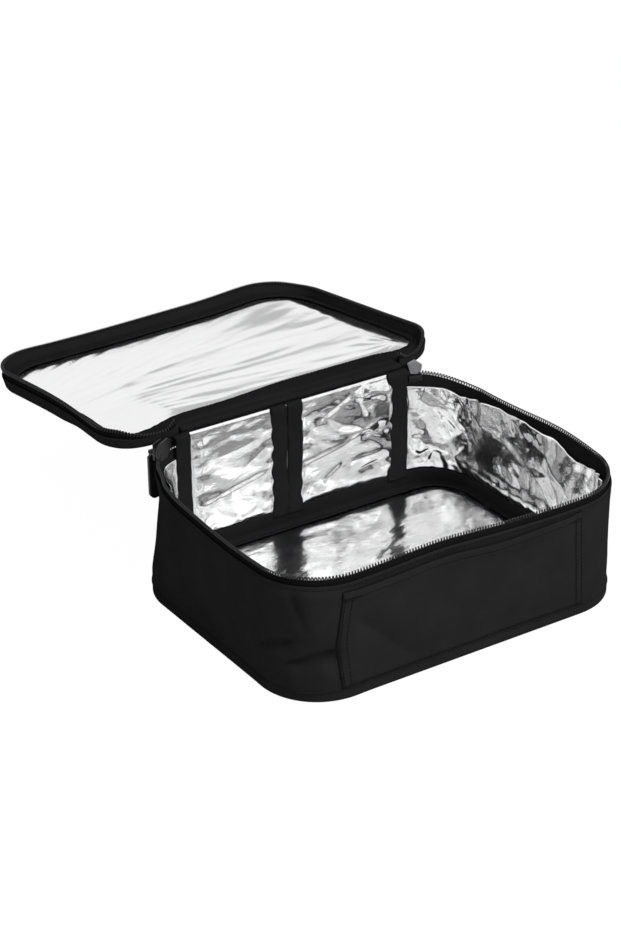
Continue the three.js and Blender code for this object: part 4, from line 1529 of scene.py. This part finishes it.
def lid_top():
    inset = LID_ROUND * 0.8
    x, y = plan_grid(inset, inset, HINGE_CLEARANCE, 0.003)
    edge = edge_distance(x, y, inset, inset, HINGE_CLEARANCE)
    top = LID["lid_panel"][1]
    puff = 0.0009 * ramp(edge, 0, 0.03) + 0.0005 * rough(x, y, 0.05, 82) * ramp(edge, 0.003, 0.02)
    piece = plan_sheet("lid_fabric", x, y, top + puff, top - CLOTH + puff * 0.5, outer_fabric(), laid_open)
    return finish(piece, "lid", "outer_fabric", "lid_panel")


def lid_foam():
    x, y = plan_grid(LINING_INSET, LINING_INSET, LINING_CLEARANCE, 0.006)
    bottom, top = LID["lid_foam"]
    dent = 0.0002 * (0.5 + 0.5 * rough(x, y, 0.03, 83))
    piece = plan_sheet("lid_foam_pad", x, y, top - dent, bottom + dent, foam_material(), laid_open)
    return finish(piece, "lid", "foam", "lid_foam")


def lid_foil():
    """The foil pulled tight under the lid, with faint folds that fan out from the corners."""
    x, y = plan_grid(LINING_INSET, LINING_INSET, LINING_CLEARANCE, 0.0018)
    bottom, top = LID["lid_lining"]
    edge = edge_distance(x, y, 0.011, 0.0145, 0.021)
    free = ramp(edge, 0.0, 0.010)
    turn = np.arctan2(y - 0.03, x + 0.24)
    away = np.hypot(y - 0.03, x + 0.24)
    streaks = 0.00036 * rough(turn, away * 0.5, 0.085, 85) + 0.00028 * rough(turn, away * 0.8, 0.030, 86)
    ripple = 0.00018 * rough(x, y, 0.08, 84) + streaks * ramp(away, 0.08, 0.2)
    dx, dy = x - 0.112, y - 0.066
    fans = 0.00016 * np.sin(np.arctan2(dy, dx) * 13 + 1) * bell(np.hypot(dx, dy), 0.010, 0.020)
    out = free * np.clip(0.0006 + ripple + fans, -0.0002, 0.0018)
    face = bottom + 0.0003 - out
    piece = plan_sheet("lid_foil", x, y, top - 0.0004, face, plain_foil_material(), laid_open)
    return finish(piece, "lid", "foil_lining", "lid_lining")


def lid_band_reach(station):
    """How far the lid's binding reaches in from the lid's outer face."""
    walked = from_back(station)
    near_back = 1 - ramp(np.abs(walked), BACK_LEFT - 0.01, BACK_LEFT + QUARTER * 0.9)
    near_front = 1 - ramp(np.abs(station - FRONT_MIDDLE), STRAIGHT_X - 0.01, STRAIGHT_X + QUARTER * 0.9)
    right = ramp(-walked, -0.050, 0.015) * near_back
    narrower = 0.0048 * bell(station, (RIGHT_START + RIGHT_END) / 2, 0.075)
    return 0.0108 + 0.0106 * near_back + 0.0030 * near_front + 0.0058 * right - narrower


def lid_band():
    """The wide binding round the lid's foil, wrapped over the edge along the hinge."""
    stations = steps_between(0, PERIMETER, 0.0022)[:-1]
    s = stations[None, :]
    at_hinge = 1 - ramp(np.abs(from_back(s)), BACK_LEFT - 0.003, BACK_LEFT + 0.006)
    reach = lid_band_reach(s)
    reach = reach + 0.0007 * wander(s, 0.03, 86) + 0.0002 * wander(s, 0.008, 87)
    outer = 0.0026
    bottom, top = LID["lid_binding"]
    across = np.concatenate([np.linspace(0, 0.24, 7), np.linspace(0.34, 0.92, 8), [0.97, 1.0]])[:, None]
    inset = outer + (reach - outer) * across
    pucker = 0.00018 * np.sin(s / 0.0018 + 3 * wander(s, 0.02, 88))
    crown = 0.0006 * np.sin(math.pi * np.clip(across * 1.02, 0, 1)) ** 0.7
    face = bottom + 0.0002 - crown - pucker * across
    lifted = at_hinge * (1 - ramp(inset, 0.0056, 0.0076)) * 0.0014
    face = face + lifted
    face[-1] = top - 0.0003
    behind = np.broadcast_to(top - 0.0001, inset.shape) + lifted
    wrap = at_hinge * np.array([0.0014, 0.0028])[:, None]
    wrap_z = np.concatenate([face[:1] + wrap[::-1], face, behind[::-1], behind[:1] + wrap])
    outside = inset[:1] + 0.0005 * at_hinge + 0 * wrap
    wrap_inset = np.concatenate([inset[:1] + 0 * wrap, inset, inset[::-1], outside])
    piece = tube_strip("lid_band", lid_place(s, wrap_inset, wrap_z), binding_cloth(), stations, closed=True)
    return finish(piece, "lid", "binding_tape", "lid_binding")


def lid_tape():
    stations = three_sides(0.003)
    outer = inset_of("body_zip_tape")
    bottom, top = LID["lid_zip_coil"][0] + 0.0006, LID["lid_zip_tape"][1]
    s, inset, z = strip_grid(stations, outer, LINING, bottom, top, 0.0012)
    piece = tube_strip("lid_tape", lid_place(s, inset, z), zip_cloth(), stations)
    return finish(piece, "lid", "zip_tape", "lid_zip_tape")


def lid_facing():
    stations = three_sides(0.003)
    outer = inset_of("body_rim_facing")
    bottom, top = LID["lid_rim_facing"]
    s, inset, z = strip_grid(stations, outer, FACING, bottom, top, 0.0014)
    lean = 0.0012 * ramp(z, bottom, top)
    piece = tube_strip("lid_facing_tape", lid_place(s, inset + lean, z), binding_cloth(), stations)
    return finish(piece, "lid", "binding_tape", "lid_rim_facing")


def lid_coil():
    stations = three_sides(0.0012, SEAM_GAP + 0.0008)
    middle = inset_of("body_zip_coil") + COIL_WIDTH / 2
    height = LID["lid_zip_coil"][0] - 0.0003 + COIL_TALL / 2
    return coil("lid_coil", lid_place(stations, middle, height), "lid", "lid_zip_coil")


STRAP_WIDTH = 0.025
STRAP_THICKNESS = 0.002
STRAP_TAB = 0.024


def strap_rise(x):
    """How high the strap stands off the lid at a place along it."""
    reach = high("carry_handle").x - STRAP_TAB
    tall = LID["carry_handle"][1] - LID["carry_handle"][0] - STRAP_THICKNESS
    share = np.minimum(np.abs(x) / reach, 1)
    return tall * (1 + np.cos(math.pi * share)) / 2


def carry_strap():
    """Flat webbing, sewn down at both ends and bowed between, with rounded edges."""
    reach = high("carry_handle").x
    along = steps_between(-reach, reach, 0.0018)
    turn = np.linspace(0, 2 * math.pi, 28, endpoint=False)
    power = 0.35
    flat_y = np.sign(np.cos(turn)) * np.abs(np.cos(turn)) ** power * STRAP_WIDTH / 2
    flat_z = np.sign(np.sin(turn)) * np.abs(np.sin(turn)) ** 0.8 * STRAP_THICKNESS / 2
    base = LID["carry_handle"][0]
    x = np.broadcast_to(along[None, :], (len(turn), len(along)))
    narrow = 1 - 0.12 * bell(along, 0, 0.03)[None, :]
    y = flat_y[:, None] * narrow + 0 * x
    z = base + STRAP_THICKNESS / 2 + flat_z[:, None] + strap_rise(x) + 0.0003
    points = opened(np.stack([x, y, z], axis=-1))
    piece = tube_strip("carry_strap", points, strap_webbing(), along)
    return finish(piece, "lid", "webbing", "carry_handle")


def lid_stitches():
    """Stitch rows on the lid: round its binding, and boxes that hold the strap down."""
    lines = []
    bottom = LID["lid_binding"][0]
    stations = steps_between(0, PERIMETER, 0.004)
    inset = lid_band_reach(stations) - 0.0018
    lines.append(lid_place(stations, inset, np.full_like(stations, bottom - 0.0002)))
    top = LID["carry_handle"][0] + STRAP_THICKNESS + 0.0004
    end = high("carry_handle").x - 0.003
    start = end - STRAP_TAB + 0.006
    half = STRAP_WIDTH / 2 - 0.003
    for side in (-1, 1):
        corners = [(start, -half), (end, -half), (end, half), (start, half), (start, -half), (end, half)]
        corners += [(end, -half), (start, half)]
        path = []
        for (x0, y0), (x1, y1) in zip(corners, corners[1:]):
            share = np.linspace(0, 1, 12)[:-1, None]
            path.append((1 - share) * np.array([side * x0, y0, top]) + share * np.array([side * x1, y1, top]))
        lines.append(opened(np.concatenate(path)))
    return stitches("lid_stitches", lines, "lid")


# Sliders and pulls


def shown_copy(node, name, material, lift):
    """The node's own shape as a piece, moved up as far as the rim lifts it."""
    mesh = frame["nodes"][node].data.copy()
    mesh.transform(Matrix.Translation((0, 0, lift)))
    mesh.materials.clear()
    mesh.materials.append(material)
    piece = add_object(name, mesh)
    weld = piece.modifiers.new("weld", "WELD")
    weld.merge_threshold = 0.00002
    return piece


def cast_shape(piece, grain, times):
    """Rounds a piece all over, as metal comes out of a mould."""
    skin = piece.modifiers.new("skin", "REMESH")
    skin.mode = "VOXEL"
    skin.voxel_size = grain
    smooth = piece.modifiers.new("smooth", "SMOOTH")
    smooth.factor = 0.5
    smooth.iterations = times
    baked(piece)
    piece.data.shade_smooth()
    return piece


def bevelled(piece, width):
    flat = piece.modifiers.new("flat", "DECIMATE")
    flat.decimate_type = "DISSOLVE"
    flat.angle_limit = math.radians(1)
    bevel = piece.modifiers.new("bevel", "BEVEL")
    bevel.width = width
    bevel.segments = 3
    bevel.limit_method = "ANGLE"
    bevel.angle_limit = math.radians(35)
    baked(piece)
    piece.data.shade_smooth()
    return piece


PARK = {"left": math.radians(28), "right": math.radians(15)}
SLIDER_LIFT = {"left": 0.0030, "right": 0.0034}
PLATE_INSET = 0.0030
PLATE_THICKNESS = 0.0015
# The plates' outlines in millimetres: along the plate, then up
SHIELD = ((-5.8, 3.4), (-0.3, 5.6), (5.3, 1.2), (4.6, -3.2), (1.3, -5.7), (-3.6, -4.8))
CAP = ((-9.0, 1.5), (-5.0, 5.0), (5.0, 5.6), (9.0, 3.0), (9.2, -3.0), (4.0, -6.0), (-5.0, -6.2), (-8.6, -4.0))


def shield(side, shape, middle_z, shift):
    """A cast plate on the inner side of a slider: a shield with soft corners."""
    turn = PARK[side]
    sign = 1 if side == "right" else -1
    along = Vector((math.cos(turn), -sign * math.sin(turn), 0))
    inward = Vector((-sign * math.sin(turn), -math.cos(turn), 0))
    corner = Vector((sign * STRAIGHT_X, STRAIGHT_Y, middle_z))
    middle = corner - inward * (CORNER - PLATE_INSET) + along * shift
    rim = [middle + along * (a / 1000) + Vector((0, 0, b / 1000)) for a, b in shape]
    points = rim + [point + inward * PLATE_THICKNESS for point in rim]
    count = len(shape)
    faces = [list(range(count)), list(range(2 * count - 1, count - 1, -1))]
    faces += [[i, (i + 1) % count, (i + 1) % count + count, i + count] for i in range(count)]
    plate = plain_mesh(f"slider_plate_{side}", points, faces, slider_metal(side))
    piece = cast_shape(face_outwards(plate), 0.0003, 14)
    return finish(piece, f"slider_{side}", "slider_metal")


def sliders():
    """Both sliders with their tabs; the left tab hangs turned towards the front."""
    for side, lift in SLIDER_LIFT.items():
        body = shown_copy(f"slider_{side}", f"slider_body_{side}", slider_metal("left"), lift)
        finish(cast_shape(body, 0.00035, 9), f"slider_{side}", "slider_metal", f"slider_{side}")
        tab = bevelled(shown_copy(f"pull_{side}", f"pull_tab_{side}", pull_rubber(), lift), 0.0008)
        if side == "left":
            middle = (low("pull_left") + high("pull_left")) / 2
            turned = Matrix.Rotation(-PARK[side] * 0.85, 4, "Z")
            tab.data.transform(Matrix.Translation(middle) @ turned @ Matrix.Translation(-middle))
        finish(tab, f"pull_{side}", "pull_rubber", f"pull_{side}")
    # The right plate takes the lighter grey as a painted highlight; the left plate keeps the metal's own
    # dark.
    shield("right", SHIELD, 0.0986, -0.0002)
    shield("left", CAP, 0.0945, 0.0008)


# The stage


VIEW_AZIMUTH = math.radians(-34.72)
VIEW_ELEVATION = math.radians(28.11)
VIEW_DISTANCE = 1.66029
VIEW_TARGET = Vector((0, 0, 0.05))
FOCAL_PIXELS = 2546.07
IMAGE_HEIGHT = 931
TARGET_RIGHT = 68.57
TARGET_DOWN = 56.02
SENSOR = 36.0


def add_camera():
    """The camera at the photograph's angle: the target falls right of and below the picture's middle."""
    turn, rise = VIEW_AZIMUTH, VIEW_ELEVATION
    back = Vector((math.sin(turn) * math.cos(rise), -math.cos(turn) * math.cos(rise), math.sin(rise)))
    right = Vector((math.cos(turn), math.sin(turn), 0))
    up = back.cross(right)
    look = -back - right * (TARGET_RIGHT / FOCAL_PIXELS) + up * (TARGET_DOWN / FOCAL_PIXELS)
    look.normalize()
    side = (right - look * right.dot(look)).normalized()
    rotation = np.array([side, (-look).cross(side), -look]).T
    data = bpy.data.cameras.new("camera")
    data.sensor_width = SENSOR
    data.lens = FOCAL_PIXELS * SENSOR / IMAGE_HEIGHT
    data.clip_start = 0.05
    data.clip_end = 60
    camera = add_object("camera", data)
    camera.location = VIEW_TARGET + back * VIEW_DISTANCE
    camera.rotation_mode = "QUATERNION"
    camera.rotation_quaternion = Matrix(rotation.tolist()).to_quaternion()
    bpy.context.scene.camera = camera


def seen_directly(tree):
    """1 for rays from the camera, a mirror or glass, and 0 for the light that falls on things."""
    path = tree.nodes.new("ShaderNodeLightPath")
    pair = math_node(tree, "MAXIMUM", path.outputs["Is Camera Ray"], path.outputs["Is Glossy Ray"])
    return math_node(tree, "MAXIMUM", pair, path.outputs["Is Transmission Ray"])


def emptied_tree(owner):
    """The node tree of a new world or material, cleared of its first nodes."""
    owner.use_nodes = True
    owner.node_tree.nodes.clear()
    return owner.node_tree


def set_world():
    """White where it is seen, and a dimmer even light on the bag."""
    world = bpy.data.worlds.new("white_room")
    tree = emptied_tree(world)
    lit = tree.nodes.new("ShaderNodeBackground")
    lit.inputs["Strength"].default_value = bpy.context.scene.bag_stage.ambient
    seen = tree.nodes.new("ShaderNodeBackground")
    seen.inputs["Color"].default_value = (1, 1, 1, 1)
    seen.inputs["Strength"].default_value = 1.0
    mix = tree.nodes.new("ShaderNodeMixShader")
    out = tree.nodes.new("ShaderNodeOutputWorld")
    lit.inputs["Color"].default_value = (1, 1, 1, 1)
    tree.links.new(seen_directly(tree), mix.inputs[0])
    tree.links.new(lit.outputs[0], mix.inputs[1])
    tree.links.new(seen.outputs[0], mix.inputs[2])
    tree.links.new(mix.outputs[0], out.inputs["Surface"])
    bpy.context.scene.world = world


def add_floor():
    """A white floor: bright where it is seen, with a faint shadow kept."""
    material = bpy.data.materials.new("white_floor")
    tree = emptied_tree(material)
    matt = tree.nodes.new("ShaderNodeBsdfDiffuse")
    matt.inputs["Color"].default_value = (0.85, 0.85, 0.85, 1)
    glow = tree.nodes.new("ShaderNodeEmission")
    glow.inputs["Strength"].default_value = 1.06
    mix = tree.nodes.new("ShaderNodeMixShader")
    share = math_node(tree, "MULTIPLY", seen_directly(tree), 0.93)
    out = tree.nodes.new("ShaderNodeOutputMaterial")
    tree.links.new(share, mix.inputs[0])
    tree.links.new(matt.outputs[0], mix.inputs[1])
    tree.links.new(glow.outputs[0], mix.inputs[2])
    tree.links.new(mix.outputs[0], out.inputs["Surface"])
    reach = 6.0
    corners = [(-reach, -reach, 0), (reach, -reach, 0), (reach, reach, 0), (-reach, reach, 0)]
    floor = plain_mesh("floor", corners, [(0, 1, 2, 3)], material)
    floor.location.z = -0.0002


def add_lamp(name, place_at, size, power):
    data = bpy.data.lights.new(name, "AREA")
    data.shape = "RECTANGLE"
    data.size, data.size_y = size
    data.energy = power
    lamp = add_object(name, data)
    lamp.location = place_at
    lamp.rotation_mode = "QUATERNION"
    lamp.rotation_quaternion = (VIEW_TARGET - Vector(place_at)).to_track_quat("-Z", "Y")
    lamp.visible_camera = False
    lamp.visible_glossy = False


def add_card(name, middle, width, height, tone):
    """A card seen only in the foil, as bright as its tone, that stands for a part of the room."""
    material = bpy.data.materials.new(f"{name}_tone")
    tree = emptied_tree(material)
    glow = tree.nodes.new("ShaderNodeEmission")
    glow.inputs["Color"].default_value = (tone, tone, tone, 1)
    out = tree.nodes.new("ShaderNodeOutputMaterial")
    tree.links.new(glow.outputs[0], out.inputs["Surface"])
    toward = (Vector((0, 0, 0.08)) - Vector(middle)).normalized()
    side = toward.cross(Vector((0, 0, 1))).normalized()
    up = side.cross(toward)
    signs = ((-1, -1), (1, -1), (1, 1), (-1, 1))
    corners = [Vector(middle) + side * a * width / 2 + up * b * height / 2 for a, b in signs]
    card = plain_mesh(name, corners, [(0, 1, 2, 3)], material)
    card.visible_camera = False
    card.visible_diffuse = False
    card.visible_shadow = False


# Cards round the bag: direction from +X in degrees, height, width, height of the card, and tone
CARDS = (
    (-160, 0.9, 0.35, 1.4, 0.10), (-140, 1.5, 0.30, 0.8, 0.45), (-122, 0.7, 0.30, 1.0, 0.03),
    (-103, 1.3, 0.40, 1.2, 0.30), (-84, 0.6, 0.30, 0.9, 0.06), (-66, 1.2, 0.30, 1.1, 0.50),
    (-47, 0.8, 0.35, 1.2, 0.04), (-25, 1.4, 0.30, 0.9, 0.35), (-6, 0.8, 0.35, 1.2, 0.12),
    (20, 1.3, 0.30, 0.8, 0.55), (168, 1.0, 0.40, 1.1, 0.25), (-75, 2.2, 0.60, 0.5, 0.10),
    (-35, 2.3, 0.50, 0.5, 0.40), (-120, 2.3, 0.50, 0.5, 0.25), (-57, 1.9, 0.35, 0.7, 2.2),
    (-97, 1.9, 0.30, 0.5, 1.9), (-15, 1.7, 0.30, 0.6, 2.0), (-150, 1.6, 0.30, 0.8, 1.8),
    (75, 2.6, 0.60, 0.6, 2.0),
)
CARD_DISTANCE = 2.3


def light_stage():
    stage = bpy.context.scene.bag_stage
    add_lamp("key", (0.74, -1.84, 1.9), (1.2, 1.0), stage.key_power)
    add_lamp("fill", (-1.2, 0.1, 2.0), (1.0, 1.0), stage.fill_power)
    add_lamp("top", (0.1, 0.3, 2.2), (1.4, 1.0), stage.fill_power / 2)
    add_card("card_behind", (2.17, 3.0, 1.94), 1.8, 1.7, 0.56)
    for index, (degrees, height, width, tall, tone) in enumerate(CARDS):
        turn = math.radians(degrees)
        middle = (CARD_DISTANCE * math.cos(turn), CARD_DISTANCE * math.sin(turn), height)
        add_card(f"card_{index}", middle, width, tall, tone)


# Operators and panel


class BAG_OT_stage(bpy.types.Operator):
    """Add the camera, the lamps, the white floor and the sky"""

    bl_idname = "bag.stage"
    bl_label = "Stage"

    def execute(self, context):
        context.scene.view_settings.view_transform = "Standard"
        add_camera()
        set_world()
        add_floor()
        light_stage()
        return {"FINISHED"}


class Steps:
    """What an operator does that makes a group of pieces: it runs the group's functions in turn."""

    steps = ()

    def execute(self, context):
        for step in self.steps:
            step()
        return {"FINISHED"}


class BAG_OT_outside(Steps, bpy.types.Operator):
    """Make the body's outer fabric: side walls, back wall and bottom panel"""

    bl_idname = "bag.outside"
    bl_label = "Outer fabric"

    steps = (outer_wall, back_wall, bottom_panel, piping)


class BAG_OT_pocket(Steps, bpy.types.Operator):
    """Make the patch pocket on the front"""

    bl_idname = "bag.pocket"
    bl_label = "Front pocket"

    steps = (pocket,)


class BAG_OT_foam(Steps, bpy.types.Operator):
    """Make the foam pads of the body and the lid"""

    bl_idname = "bag.foam"
    bl_label = "Foam pads"

    steps = (wall_foam, back_foam, bottom_foam, lid_foam)


class BAG_OT_foil(Steps, bpy.types.Operator):
    """Make the crinkled foil on the walls and the floor"""

    bl_idname = "bag.foil"
    bl_label = "Foil lining"

    steps = (side_foil, back_foils, floor_foil)


class BAG_OT_bindings(Steps, bpy.types.Operator):
    """Make the black bindings over the foil's seams"""

    bl_idname = "bag.bindings"
    bl_label = "Bindings"

    steps = (floor_band, upright_bands, gussets)


class BAG_OT_zip(Steps, bpy.types.Operator):
    """Make the zip's tapes, facings and coils on the body and the lid"""

    bl_idname = "bag.zip"
    bl_label = "Zip"

    steps = (rim_tape, rim_facing, rim_coil, lid_tape, lid_facing, lid_coil, hinge_roll)


class BAG_OT_lid(Steps, bpy.types.Operator):
    """Make the lid's fabric, foil and binding, and its strap"""

    bl_idname = "bag.lid"
    bl_label = "Lid"

    steps = (lid_side, lid_top, lid_foil, lid_band, carry_strap)


class BAG_OT_sliders(Steps, bpy.types.Operator):
    """Make the two sliders and their pull tabs"""

    bl_idname = "bag.sliders"
    bl_label = "Sliders"

    steps = (sliders,)


class BAG_OT_stitches(Steps, bpy.types.Operator):
    """Sew the stitch rows of the body and the lid"""

    bl_idname = "bag.stitches"
    bl_label = "Stitches"

    steps = (body_stitches, lid_stitches)


OPERATORS = (
    BAG_OT_stage, BAG_OT_outside, BAG_OT_pocket, BAG_OT_foam, BAG_OT_foil, BAG_OT_bindings, BAG_OT_zip,
    BAG_OT_lid, BAG_OT_sliders, BAG_OT_stitches,
)
SETTINGS = (("bag_sizes", BagSizes), ("bag_colours", BagColours), ("bag_stage", StageSettings))


class BAG_PT_panel(bpy.types.Panel):
    """The bag's steps and settings in the sidebar"""

    bl_label = "Lunch Bag"
    bl_idname = "BAG_PT_panel"
    bl_space_type = "VIEW_3D"
    bl_region_type = "UI"
    bl_category = "Lunch Bag"

    def draw(self, context):
        for operator in OPERATORS:
            self.layout.operator(operator.bl_idname)
        for name, group in SETTINGS:
            settings = getattr(context.scene, name)
            for prop in group.__annotations__:
                self.layout.prop(settings, prop)


def register():
    for _, group in SETTINGS:
        bpy.utils.register_class(group)
    for name, group in SETTINGS:
        setattr(bpy.types.Scene, name, PointerProperty(type=group))
    for operator in OPERATORS:
        bpy.utils.register_class(operator)
    bpy.utils.register_class(BAG_PT_panel)


def unregister():
    bpy.utils.unregister_class(BAG_PT_panel)
    for operator in reversed(OPERATORS):
        bpy.utils.unregister_class(operator)
    for name, group in reversed(SETTINGS):
        delattr(bpy.types.Scene, name)
        bpy.utils.unregister_class(group)


def main():
    register()
    for operator in OPERATORS:
        group, name = operator.bl_idname.split(".")
        getattr(getattr(bpy.ops, group), name)()


if __name__ == "__main__":
    main()
